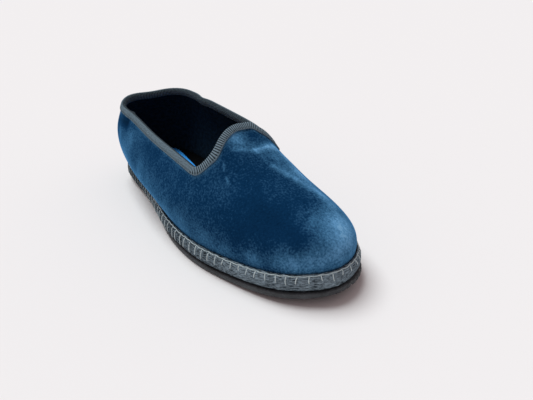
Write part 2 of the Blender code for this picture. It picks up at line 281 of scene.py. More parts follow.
class Line:
    """A smooth closed line through knots."""

    def __init__(self, knots: Array) -> None:
        """Work out the line's slope at each knot.

        Args:
            knots: Points in order round the line.
        """
        count = len(knots)
        after = np.roll(np.eye(count), 1, axis=1)
        run = np.roll(knots, -1, axis=0) - np.roll(knots, 1, axis=0)
        self.knots = knots
        self.slopes = np.linalg.solve(4.0 * np.eye(count) + after + after.T, 3.0 * run)

    def at(self, turn: Array) -> Array:
        """Find points of the line.

        Args:
            turn: Places on the line, counted in knots.

        Returns:
            One point for each place.
        """
        first = np.floor(turn).astype(int)
        t = (turn - first)[..., None]
        first = first % len(self.knots)
        second = (first + 1) % len(self.knots)
        ends = (2 * t**3 - 3 * t**2 + 1) * self.knots[first] + (3 * t**2 - 2 * t**3) * self.knots[second]
        return ends + (t**3 - 2 * t**2 + t) * self.slopes[first] + (t**3 - t**2) * self.slopes[second]


@dataclass
class Last:
    """The form the slipper is made on: its foot line, wall, collar and the run of its sole.

    Attributes:
        length: Length of the foot line.
        ball_width: Width of the foot line across the ball.
        heel_height: Height of the collar at the heel.
        instep_height: Height of the collar at the tongue.
        foot_height: Height of the foot line over the tread line.
        toe_spring: Rise of the toe over the floor.
        spring_start: Share of the length at which the toe begins to rise.
        arch_lift: Rise of the tread line under the arch.
        arch_span: Shares of the length between which the arch is.
        samples: Places at which lengths along the foot line and collar are measured.
        slack: How far the velvet of the outer flank stands out.
        slack_span: Shares of the length between which it does.
        slack_rise: Shares of the wall's height between which it does.
        slack_from: Distances from the middle line over which it begins.
        ripple: Height of the small waves all over the velvet.
        ripple_run: Lengths that set the waves' spacing along X, Y and Z.
    """

    length: float = 250.0
    ball_width: float = 83.0
    heel_height: float = 69.0
    instep_height: float = 81.0
    foot_height: float = 15.6
    toe_spring: float = 6.0
    spring_start: float = 0.70
    arch_lift: float = 2.0
    arch_span: tuple[float, float] = (0.20, 0.58)
    samples: int = 4000
    slack: float = 1.7
    slack_span: tuple[float, float] = (0.02, 0.66)
    slack_rise: tuple[float, float] = (-0.02, 0.52)
    slack_from: tuple[float, float] = (10.0, 25.0)
    ripple: float = 0.35
    ripple_run: tuple[float, float, float] = (11.0, 9.0, 7.0)

    def __post_init__(self) -> None:
        """Draw the closed lines of the wall and measure the foot line and the collar."""
        sections = (BACK_SEAM, *OUTER_SIDE, TOE_TIP, *reversed(INNER_SIDE))
        column = {name: np.array([getattr(s, name) for s in sections]) for name in Section._fields}
        half = self.ball_width / 2
        foot_y = (0.5 - column["along"]) * self.length
        foot_z = self.foot_height + self.tread_lift(foot_y)
        foot = np.column_stack((half * column["foot"], foot_y, foot_z))
        ends = (BACK_SEAM.collar_at, TOE_TIP.collar_at)
        full_height = np.interp(column["collar_at"], ends, (self.heel_height, self.instep_height))
        collar_y = (0.5 - column["collar_at"]) * self.length
        collar = np.column_stack((half * column["collar"], collar_y, column["height"] * full_height))
        run = np.roll(foot, -1, axis=0) - np.roll(foot, 1, axis=0)
        out = unit(np.column_stack((run[:, 1], -run[:, 0], np.zeros(len(run)))))
        lower = foot + column["lift"][:, None] * UP + column["lean"][:, None] * out
        to_foot = (foot - collar) * (1.0 - UP)
        upper = collar + column["reach"][:, None] * to_foot + column["swell"][:, None] * out
        upper = upper - column["drop"][:, None] * UP
        self.count = len(sections)
        self.foot, self.lower, self.upper, self.collar = map(Line, (foot, lower, upper, collar))
        self.turns = np.linspace(0.0, self.count, self.samples + 1)
        self.foot_lengths = self.lengths(self.foot)
        self.collar_lengths = self.lengths(self.collar)

    def lengths(self, line: Line) -> Array:
        """Measure a closed line from its start to each sample."""
        steps = np.linalg.norm(np.diff(line.at(self.turns), axis=0), axis=1)
        return np.concatenate(([0.0], np.cumsum(steps)))

    def foot_turn(self, share: Array) -> Array:
        """Find the places at even shares of the foot line's length."""
        return np.interp(share * self.foot_lengths[-1], self.foot_lengths, self.turns)

    def collar_turn(self, share: Array) -> Array:
        """Find the places at even shares of the collar's length."""
        return np.interp(share * self.collar_lengths[-1], self.collar_lengths, self.turns)

    def along(self, y: Array) -> Array:
        """Turn places along Y to shares of the length from the heel."""
        return 0.5 - y / self.length

    def tread_lift(self, y: Array) -> Array:
        """Find the height of the tread line over the floor.

        Args:
            y: Places along the shoe.

        Returns:
            Heights, from the toe spring and the arch.
        """
        along = self.along(y)
        spring = np.clip((along - self.spring_start) / (1.0 - self.spring_start), 0.0, None) ** 2
        return self.toe_spring * spring + self.arch_lift * bump(along, *self.arch_span)

    def foot_out(self, turn: Array) -> Array:
        """Find the level directions out of the foot line."""
        run = self.foot.at(turn + NEAR_TURN / 2) - self.foot.at(turn - NEAR_TURN / 2)
        return unit(np.stack((run[..., 1], -run[..., 0], np.zeros(run.shape[:-1])), axis=-1))

    def beside_foot(self, turn: Array, out: Array, height: Array) -> Array:
        """Find points beside the foot line.

        Args:
            turn: Places on the foot line.
            out: Distance out of the line.
            height: Height over the tread line.

        Returns:
            The points.
        """
        foot = self.foot.at(turn)
        points = foot + self.foot_out(turn) * np.asarray(out)[..., None]
        points[..., 2] = self.tread_lift(foot[..., 1]) + height
        return points

    def plain_wall(self, turn: Array, share: Array) -> Array:
        """Find points of the wall before creases, at shares of the way from foot line to collar."""
        s = np.asarray(share)[..., None]
        r = 1.0 - s
        low = r**3 * self.foot.at(turn) + 3 * r**2 * s * self.lower.at(turn)
        return low + 3 * r * s**2 * self.upper.at(turn) + s**3 * self.collar.at(turn)

    def normal(self, turn: Array, share: Array) -> Array:
        """Find the directions out of the wall."""
        run = self.plain_wall(turn + NEAR_TURN, share) - self.plain_wall(turn - NEAR_TURN, share)
        rise = self.plain_wall(turn, np.minimum(share + 0.4 * NEAR_SHARE, 1.0))
        rise = rise - self.plain_wall(turn, np.maximum(share - 0.4 * NEAR_SHARE, 0.0))
        return unit(np.cross(run, rise))

    def relief(self, turn: Array, share: Array) -> Array:
        """Find how far creases and slack move the wall out or in.

        Args:
            turn: Places round the shoe.
            share: Shares of the way from foot line to collar.

        Returns:
            Distances along the wall's normal.
        """
        points = self.plain_wall(turn, share)
        moved = sum(crease.depth * crease.strength(points) for crease in CREASES)
        span = bump(self.along(points[..., 1]), *self.slack_span) * bump(share, *self.slack_rise)
        slack = self.slack * span * step_up(-points[..., 0], *self.slack_from)
        x, y, z = np.moveaxis(points / np.array(self.ripple_run), -1, 0)
        wave = self.ripple * np.sin(y + z) * np.sin(x) * bump(share, 0.0, 1.25)
        return moved + slack + wave

    def wall(self, turn: Array, share: Array, off: Array) -> Array:
        """Find points beside the creased wall.

        Args:
            turn: Places round the shoe.
            share: Shares of the way from foot line to collar.
            off: Distance off the wall's outer face.

        Returns:
            The points.
        """
        points = self.plain_wall(turn, share)
        away = np.asarray(off) + self.relief(turn, share)
        return points + away[..., None] * self.normal(turn, share)

    def lay_and_light(self, points: Array) -> Array:
        """Tell how much lighter each point is drawn, below 0 for darker: pile lay, painted highlight and
        shade.
        """
        return sum(crease.lay_and_light * crease.strength(points) for crease in CREASES) + sum(
            brush.light * brush.strength(points) for brush in TONE_SPOTS
        )

    def collar_rise(self, turn: Array) -> Array:
        """Find directions in the wall that are square to the collar and point up past it."""
        run = self.collar.at(turn + NEAR_TURN) - self.collar.at(turn - NEAR_TURN)
        return unit(np.cross(self.normal(turn, np.ones_like(turn)), run))

    def share_below_collar(self, turn: Array, depth: Array) -> Array:
        """Find the shares that lie a distance below the collar, measured square to it.

        Args:
            turn: Places round the shoe.
            depth: Distances below the collar.

        Returns:
            Shares of the way from foot line to collar.
        """
        span = self.collar.at(turn) - self.upper.at(turn)
        slant = np.sum(self.collar_rise(turn) * unit(span), axis=-1)
        near = 1.0 - depth / slant / (3.0 * np.linalg.norm(span, axis=-1))
        # A few rounds are enough for the shares to settle.
        for _ in range(3):
            short = np.linalg.norm(self.plain_wall(turn, near) - self.collar.at(turn), axis=-1)
            near = 1.0 - (1.0 - near) * np.where(depth > 0, depth / slant / np.maximum(short, 1e-9), 1.0)
        return near


LAST = Last()


class Pattern(Enum):
    """How a material's pattern is laid out."""

    OBJECT = "Object"
    CLOTH = "UV"


class Shader:
    """A Principled material that is put together node by node."""

    def __init__(self, name: str, layout: Pattern) -> None:
        """Start a material.

        Args:
            name: The real material's name.
            layout: Where its pattern is laid out.
        """
        self.material = bpy.data.materials.new(name)
        self.material.use_nodes = True
        self.tree = self.material.node_tree
        self.principled = self.tree.nodes["Principled BSDF"]
        self.place = self.add("ShaderNodeTexCoord").outputs[layout.value]

    def add(
        self, kind: str, settings: dict | None = None, stops: Stops = (), **inputs: object
    ) -> bpy.types.Node:
        """Add a node.

        Args:
            kind: The node's type.
            settings: Properties of the node.
            stops: Places, from 0 to 1, and hex colours on the node's colour ramp, if it has one.
            **inputs: Values or links, by socket name with underscores for spaces, or in_ and an index.

        Returns:
            The node.
        """
        node = self.tree.nodes.new(kind)
        for name, value in (settings or {}).items():
            setattr(node, name, value)
        for place, _ in stops[1:-1]:
            node.color_ramp.elements.new(place)
        for i, (_, colour) in enumerate(stops):
            node.color_ramp.elements[i].color = srgb(colour)
        self.fit(node, **inputs)
        return node

    def fit(self, node: bpy.types.Node, **inputs: object) -> None:
        """Set or link a node's sockets.

        Args:
            node: The node.
            **inputs: Values or links, by socket name with underscores for spaces, or in_ and an index.
        """
        for name, value in inputs.items():
            socket = node.inputs[int(name[3:]) if name.startswith("in_") else name.replace("_", " ")]
            if isinstance(value, bpy.types.NodeSocket):
                self.tree.links.new(value, socket)
            else:
                socket.default_value = value


def per_mm(size: float, layout: Pattern) -> float:
    """Give the scale at which a pattern repeats at a size in millimetres."""
    return 1.0 / size if layout is Pattern.CLOTH else 1.0 / (size * MM)


@dataclass(frozen=True)
class Velvet:
    """Cotton velvet: a short dense pile, dark seen straight on and pale at grazing angles, partly by
    painted sheen.

    Attributes:
        name: The material's name.
        colours: Colours from the darkest lay of the pile to the lightest.
        darker: How far below the mean lay the darkest colour is.
        lighter: How far above it the lightest is.
        cloud_mm: Size of the broad clouds in which the pile lies over.
        patch_mm: Size of the smaller patches.
        pile_mm: Size of the tufts, drawn coarser than they are, because true ones are too fine to show.
        cloud: Weight of the clouds.
        patch: Weight of the patches.
        pile: Weight of the tufts.
        lay_and_light: How much the tufts break up the drawn tones of pile lay, painted highlight and
            shade.
        lay_and_light_patch: How much the patches do.
        lay_and_light_even: How much of the drawn tones is left even.
        painted_sheen: How much lighter the colour is painted where the pile is seen at a grazing angle.
        painted_sheen_power: How narrow the painted sheen's edge is.
        nap_mm: Height of the nap.
        fuzz: Colour of the sheen.
    """

    name: str = "cotton_velvet"
    colours: Stops = (
        (0.0, "#03142A"),
        (0.1, "#041A32"),
        (0.35, "#0C3153"),
        (0.55, "#38688D"),
        (0.86, "#629BC8"),
        (1.0, "#76ACD4"),
    )
    darker: float = 0.62
    lighter: float = 1.15
    cloud_mm: float = 24.0
    patch_mm: float = 7.0
    pile_mm: float = 1.2
    cloud: float = 0.26
    patch: float = 0.2
    pile: float = 0.7
    lay_and_light: float = 0.9
    lay_and_light_patch: float = 0.81
    lay_and_light_even: float = 0.045
    painted_sheen: float = 0.75
    painted_sheen_power: float = 6.0
    nap_mm: float = 0.5
    fuzz: str = "#5096D0"

    def make(self) -> bpy.types.Material:
        """Make the material."""
        shader = Shader(self.name, Pattern.OBJECT)
        clouds, patches, tufts = (
            shader.add(
                "ShaderNodeTexNoise",
                Vector=shader.place,
                Scale=per_mm(size, Pattern.OBJECT),
                Detail=3.0,
                Roughness=0.6,
            ).outputs["Fac"]
            for size in (self.cloud_mm, self.patch_mm, self.pile_mm)
        )
        uneven = self.lay_and_light_even
        for value, weight in ((patches, self.lay_and_light_patch), (tufts, self.lay_and_light)):
            uneven = shader.add("ShaderNodeMath", WEIGH, in_0=value, in_1=weight, in_2=uneven).outputs[0]
        tone = shader.add("ShaderNodeAttribute", {"attribute_name": TONE}).outputs["Fac"]
        # Painted sheen: the colour is lightened where the surface is seen at a grazing angle.
        facing = shader.add("ShaderNodeLayerWeight", Blend=0.5).outputs["Facing"]
        edge = shader.add("ShaderNodeMath", {"operation": "POWER"}, in_0=facing, in_1=self.painted_sheen_power)
        lay = 0.0
        for value, weight in (
            (patches, self.patch),
            (clouds, self.cloud),
            (tufts, self.pile),
            (tone, uneven),
            (edge.outputs[0], self.painted_sheen),
        ):
            lay = shader.add("ShaderNodeMath", WEIGH, in_0=value, in_1=weight, in_2=lay).outputs[0]
        mean = 0.5 * (self.cloud + self.patch + self.pile)
        share = shader.add(
            "ShaderNodeMapRange", Value=lay, From_Min=mean - self.darker, From_Max=mean + self.lighter
        ).outputs[0]
        colour = shader.add("ShaderNodeValToRGB", stops=self.colours, Fac=share)
        nap = shader.add("ShaderNodeBump", Strength=0.4, Distance=self.nap_mm * MM, Height=tufts)
        shader.fit(
            shader.principled,
            Base_Color=colour.outputs["Color"],
            Roughness=0.95,
            Specular_IOR_Level=0.0,
            Sheen_Weight=0.5,
            Sheen_Roughness=0.28,
            Sheen_Tint=srgb(self.fuzz),
            Normal=nap.outputs["Normal"],
        )
        return shader.material


@dataclass(frozen=True)
class Cloth:
    """Woven cloth: threads that cross at a spacing, slubs that run longer one way, and drawn tones.

    Attributes:
        name: The material's name.
        dark: Colour between the threads.
        light: Colour of the threads.
        weave_mm: Spacing of the threads along and across, drawn coarser where true ones are too fine.
        slub_mm: Size of the slubs along and across.
        weave: Weight of the weave in the colour.
        slub: Weight of the slubs.
        tone: Weight of the tones drawn on the piece.
        relief_mm: How far the threads stand proud.
        roughness: The surface's roughness.
        sheen: Weight of its fuzz.
        slub_span: Values of the noise between which slubs begin and are full.
    """

    name: str
    dark: str
    light: str
    weave_mm: tuple[float, float]
    slub_mm: tuple[float, float]
    weave: float
    slub: float
    tone: float
    relief_mm: float
    roughness: float
    sheen: float
    slub_span: tuple[float, float] = (0.36, 0.64)

    def make(self) -> bpy.types.Material:
        """Make the material."""
        shader = Shader(self.name, Pattern.CLOTH)
        waves = [
            shader.add(
                "ShaderNodeTexWave",
                {"wave_type": "BANDS", "bands_direction": direction},
                Vector=shader.place,
                Scale=WAVE_SPACING * per_mm(size, Pattern.CLOTH),
                Distortion=0.6,
                Detail=1.0,
                Detail_Scale=2.0,
            ).outputs["Fac"]
            for direction, size in zip("XY", self.weave_mm)
        ]
        crossing = shader.add("ShaderNodeMath", MULTIPLY, in_0=waves[0], in_1=waves[1]).outputs[0]
        stretched = shader.add(
            "ShaderNodeMapping",
            Vector=shader.place,
            Scale=(*(per_mm(size, Pattern.CLOTH) for size in self.slub_mm), 1.0),
        ).outputs[0]
        noise = shader.add("ShaderNodeTexNoise", Vector=stretched, Scale=1.0, Detail=3.0, Roughness=0.65)
        low, high = self.slub_span
        slubs = shader.add(
            "ShaderNodeMapRange",
            Value=noise.outputs["Fac"],
            From_Min=low,
            From_Max=high,
            To_Max=self.slub,
        ).outputs[0]
        woven = shader.add("ShaderNodeMath", WEIGH, in_0=crossing, in_1=self.weave, in_2=slubs)
        threads = woven.outputs[0]
        tone = shader.add("ShaderNodeAttribute", {"attribute_name": TONE}).outputs["Fac"]
        shade = shader.add("ShaderNodeMath", WEIGH, in_0=tone, in_1=self.tone, in_2=threads).outputs[0]
        stops = ((0.0, self.dark), (1.0, self.light))
        colour = shader.add("ShaderNodeValToRGB", stops=stops, Fac=shade)
        relief = shader.add("ShaderNodeBump", Strength=0.8, Distance=self.relief_mm * MM, Height=threads)
        shader.fit(
            shader.principled,
            Base_Color=colour.outputs["Color"],
            Roughness=self.roughness,
            Specular_IOR_Level=0.05,
            Sheen_Weight=self.sheen,
            Sheen_Roughness=0.5,
            Sheen_Tint=srgb(self.light),
            Normal=relief.outputs["Normal"],
        )
        return shader.material


@dataclass(frozen=True)
class Rubber:
    """Vulcanised rubber: moulded, near black, dusted pale where it has rubbed on floors.

    Attributes:
        name: The material's name.
        dark: Colour of the clean rubber.
        worn: Colour where it has rubbed.
        grit_mm: Size of the grit in its skin.
        rub_mm: Size of the rubbed places.
        worn_span: Values between which the wear begins and is full.
        skin_mm: Height of the grit.
    """

    name: str = "vulcanised_rubber"
    dark: str = "#191E22"
    worn: str = "#474E53"
    grit_mm: float = 1.2
    rub_mm: float = 14.0
    worn_span: tuple[float, float] = (0.12, 0.45)
    skin_mm: float = 0.2

    def make(self) -> bpy.types.Material:
        """Make the material."""
        shader = Shader(self.name, Pattern.OBJECT)
        grit, rub = (
            shader.add(
                "ShaderNodeTexNoise",
                Vector=shader.place,
                Scale=per_mm(size, Pattern.OBJECT),
                Detail=4.0,
                Roughness=0.6,
            ).outputs["Fac"]
            for size in (self.grit_mm, self.rub_mm)
        )
        both = shader.add("ShaderNodeMath", MULTIPLY, in_0=grit, in_1=rub).outputs[0]
        low, high = self.worn_span
        share = shader.add("ShaderNodeMapRange", Value=both, From_Min=low, From_Max=high).outputs[0]
        colour = shader.add("ShaderNodeValToRGB", stops=((0.0, self.dark), (1.0, self.worn)), Fac=share)
        skin = shader.add("ShaderNodeBump", Strength=0.3, Distance=self.skin_mm * MM, Height=grit)
        shader.fit(
            shader.principled,
            Base_Color=colour.outputs["Color"],
            Roughness=0.62,
            IOR=1.52,
            Normal=skin.outputs["Normal"],
        )
        return shader.material


@dataclass(frozen=True)
class Backdrop:
    """Matte paper under the shoe: even, pale and faintly warm.

    Attributes:
        name: The material's name.
        colour: Its colour.
    """

    name: str = "matte_paper"
    colour: str = "#EAE9E9"

    def make(self) -> bpy.types.Material:
        """Make the material."""
        shader = Shader(self.name, Pattern.OBJECT)
        shader.fit(
            shader.principled, Base_Color=srgb(self.colour), Roughness=1.0, Specular_IOR_Level=0.0
        )
        return shader.material


VELVET = Velvet()
RUBBER = Rubber()
PAPER = Backdrop()
# Ribbed tape: thick weft cords across its width, which the tones draw as painted highlight on
# their tops and painted shade between them, and a dull lustre.
GROSGRAIN = Cloth(
    name="grosgrain_tape",
    dark="#0B1217",
    light="#7F95A2",
    weave_mm=(0.8, 0.5),
    slub_mm=(0.5, 2.0),
    weave=0.0,
    slub=0.25,
    tone=0.75,
    relief_mm=0.08,
    roughness=0.8,
    sheen=0.1,
)
# Sturdy cotton over the padded edge: coarse threads along the rim, worn grey and blotched.
CANVAS = Cloth(
    name="cotton_canvas",
    dark="#10191F",
    light="#9FB4C1",
    weave_mm=(0.9, 1.0),
    slub_mm=(3.2, 0.7),
    weave=0.15,
    slub=0.7,
    tone=0.6,
    relief_mm=0.35,
    roughness=0.95,
    sheen=0.1,
)
# Cotton drill lining: close weave, dyed black.
DRILL = Cloth(
    name="cotton_drill",
    dark="#050D16",
    light="#1F3648",
    weave_mm=(0.8, 0.8),
    slub_mm=(3.0, 3.0),
    weave=0.6,
    slub=0.4,
    tone=0.0,
    relief_mm=0.05,
    roughness=0.95,
    sheen=0.05,
)
# Felt sock on the insole: matted, dyed black.
FELT = Cloth(
    name="wool_felt",
    dark="#010203",
    light="#050608",
    weave_mm=(1.0, 1.0),
    slub_mm=(2.0, 2.0),
    weave=0.2,
    slub=0.8,
    tone=0.0,
    relief_mm=0.1,
    roughness=1.0,
    sheen=0.0,
)
# Waxed linen thread, pale and twisted.
THREAD = Cloth(
    name="linen_thread",
    dark="#A3B4B8",
    light="#EDFAFB",
    weave_mm=(0.6, 0.6),
    slub_mm=(2.5, 0.5),
    weave=0.3,
    slub=0.7,
    tone=0.5,
    relief_mm=0.08,
    roughness=0.85,
    sheen=0.2,
)
# Thread of the tape's seam, dyed darker than the tape.
SEAM_THREAD = Cloth(
    name="polyester_thread",
    dark="#20282E",
    light="#525E66",
    weave_mm=(0.5, 0.6),
    slub_mm=(1.0, 0.5),
    weave=0.5,
    slub=0.5,
    tone=0.0,
    relief_mm=0.05,
    roughness=0.6,
    sheen=0.1,
)
# Woven satin patch with no print on it.
PATCH = Cloth(
    name="woven_satin",
    dark="#2C9BFF",
    light="#58BCFF",
    weave_mm=(0.5, 0.5),
    slub_mm=(2.0, 2.0),
    weave=0.7,
    slub=0.3,
    tone=0.0,
    relief_mm=0.03,
    roughness=0.5,
    sheen=0.1,
)


@dataclass
class Piece:
    """A piece of the slipper while its mesh is being made.

    Attributes:
        name: The piece's name.
        mesh: The mesh being made, with a cloth map in millimetres.
    """

    name: str
    mesh: bmesh.types.BMesh = field(default_factory=bmesh.new)

    def __post_init__(self) -> None:
        """Give the mesh its cloth map and its tones."""
        self.cloth_map = self.mesh.loops.layers.uv.new("cloth")
        self.tones = self.mesh.verts.layers.float.new(TONE)

    def add_grid(self, around: int, across: int, place: Place, tone: Place | None = None) -> None:
        """Add a grid and bend it to shape, with a cloth map of its mean lengths along both sides.

        Args:
            around: Steps along the grid's first side.
            across: Steps along its second side.
            place: Gives points in millimetres for shares along both sides.
            tone: Gives how light or dark the piece is there, if it has drawn tones.
        """
        steps = np.array((around, across))
        made = bmesh.ops.create_grid(self.mesh, x_segments=around, y_segments=across, size=0.5)
        verts = made["verts"]
        cells = np.round((np.array([vert.co for vert in verts])[:, :2] + 0.5) * steps).astype(int)
        u, v = (cells / steps).T
        points = place(u, v)
        table = np.empty((around + 1, across + 1, 3))
        table[cells[:, 0], cells[:, 1]] = points
        cloth = np.empty_like(cells, float)
        for side in (0, 1):
            runs = np.linalg.norm(np.diff(table, axis=side), axis=2).mean(axis=1 - side)
            cloth[:, side] = np.concatenate(([0.0], np.cumsum(runs)))[cells[:, side]]
        tones = np.zeros(len(verts)) if tone is None else tone(u, v)
        spots = {}
        for vert, point, shade, spot in zip(verts, points * MM, tones, cloth):
            vert.co = point
            vert[self.tones] = shade
            spots[vert] = spot
        for face in {face for vert in verts for face in vert.link_faces}:
            for loop in face.loops:
                loop[self.cloth_map].uv = spots[loop.vert]

    def finish(self, material: bpy.types.Material, slot: str, *replaced: str) -> bpy.types.Object:
        """Weld the mesh, make the object and let it ride.

        Args:
            material: The piece's material.
            slot: The record's material slot; not used.
            *replaced: Solids that the piece stands for.

        Returns:
            The piece's object.
        """
        bmesh.ops.remove_doubles(self.mesh, verts=self.mesh.verts, dist=WELD)
        bmesh.ops.recalc_face_normals(self.mesh, faces=self.mesh.faces)
        data = bpy.data.meshes.new(self.name)
        self.mesh.to_mesh(data)
        self.mesh.free()
        data.shade_smooth()
        data.materials.append(material)
        made = bpy.data.objects.new(self.name, data)
        bpy.context.scene.collection.objects.link(made)
        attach(made, BODY)
        if replaced:
            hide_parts(*replaced)
        LOG.info("%s: %d faces", self.name, len(data.polygons))
        return made


class Profile(NamedTuple):
    """A corner of a layer's closed section.

    Attributes:
        at: Share of the way round the section's grid.
        share: Share of the way from foot line to collar.
        off: Distance off the wall's outer face.
        drop: How far straight down it is moved.
    """

    at: float
    share: float
    off: float
    drop: float


@dataclass
class Upper:
    """The velvet upper and its black lining.

    Attributes:
        velvet: Thickness of the velvet with its backing.
        wall: Thickness of the whole wall.
        lining: Thickness of the lining.
        tuck: How far the wall goes down behind the lip of the rim.
        rub: How much lighter the velvet is drawn along the tape's edge: rubbed pile, painted highlight.
        rub_width: How far below the tape's edge it does.
        velvet_steps: Steps of the velvet round the shoe and round its section.
        velvet_top: Share of the wall that the velvet reaches, inside the tape.
        lining_steps: Steps of the lining round the shoe and round its section.
        lining_top: Share of the wall that the lining reaches.
    """

    velvet: float = 0.9
    wall: float = 2.0
    lining: float = 0.8
    tuck: float = 2.2
    rub: float = 0.35
    rub_width: float = 1.2
    velvet_steps: tuple[int, int] = (520, 104)
    velvet_top: float = 0.995
    lining_steps: tuple[int, int] = (300, 72)
    lining_top: float = 0.98

    def section(self, outer: float, inner: float, top: float) -> tuple[Profile, ...]:
        """Draw a layer's closed section, up its outer face and down its inner one."""
        return (
            Profile(0.00, 0.0, outer, self.tuck),
            Profile(0.03, 0.0, outer, 0.0),
            Profile(0.76, top, outer, 0.0),
            Profile(0.78, top, inner, 0.0),
            Profile(0.96, 0.0, inner, 0.0),
            Profile(0.98, 0.0, inner, self.tuck),
            Profile(1.00, 0.0, outer, self.tuck),
        )

    def layer(self, name: str, steps: tuple[int, int], section: tuple[Profile, ...]) -> Piece:
        """Bend a grid to a layer of the wall.

        Args:
            name: The layer's name.
            steps: Steps round the shoe and round the section.
            section: The layer's closed section.

        Returns:
            The piece, before it is finished.
        """
        corners = np.array(section).T

        def wall_place(u: Array, v: Array) -> tuple[Array, ...]:
            """Find the turn, the share, the offset and the drop at places of the grid."""
            return LAST.foot_turn(u % 1.0), *(np.interp(v, corners[0], column) for column in corners[1:])

        def place(u: Array, v: Array) -> Array:
            """Find points of the layer."""
            turn, share, off, drop = wall_place(u, v)
            return LAST.wall(turn, share, off) - drop[:, None] * UP

        def tone(u: Array, v: Array) -> Array:
            """Find how light the velvet is drawn: pile lay with painted highlight and shade, and rubbed
            pile
                    with a painted highlight along the tape's edge.
            """
            turn, share, _, _ = wall_place(u, v)
            hem, below = (
                LAST.share_below_collar(turn, np.full_like(u, depth))
                for depth in (CollarBinding.width, CollarBinding.width + self.rub_width)
            )
            # Rubbed pile with a painted highlight, just below the tape's edge.
            rubbed = self.rub * np.exp(-(((share - hem) / (hem - below)) ** 2))
            return LAST.lay_and_light(LAST.plain_wall(turn, share)) + rubbed

        piece = Piece(name)
        piece.add_grid(*steps, place, tone)
        return piece

    def build(self) -> None:
        """Build and dress both layers."""
        outside = self.section(0.0, -self.velvet, self.velvet_top)
        velvet = self.layer("upper_velvet", self.velvet_steps, outside)
        velvet.finish(VELVET.make(), "blue_velvet", "upper")
        inside = self.section(self.lining - self.wall, -self.wall, self.lining_top)
        lining = self.layer("upper_lining", self.lining_steps, inside)
        lining.finish(DRILL.make(), "black_lining")


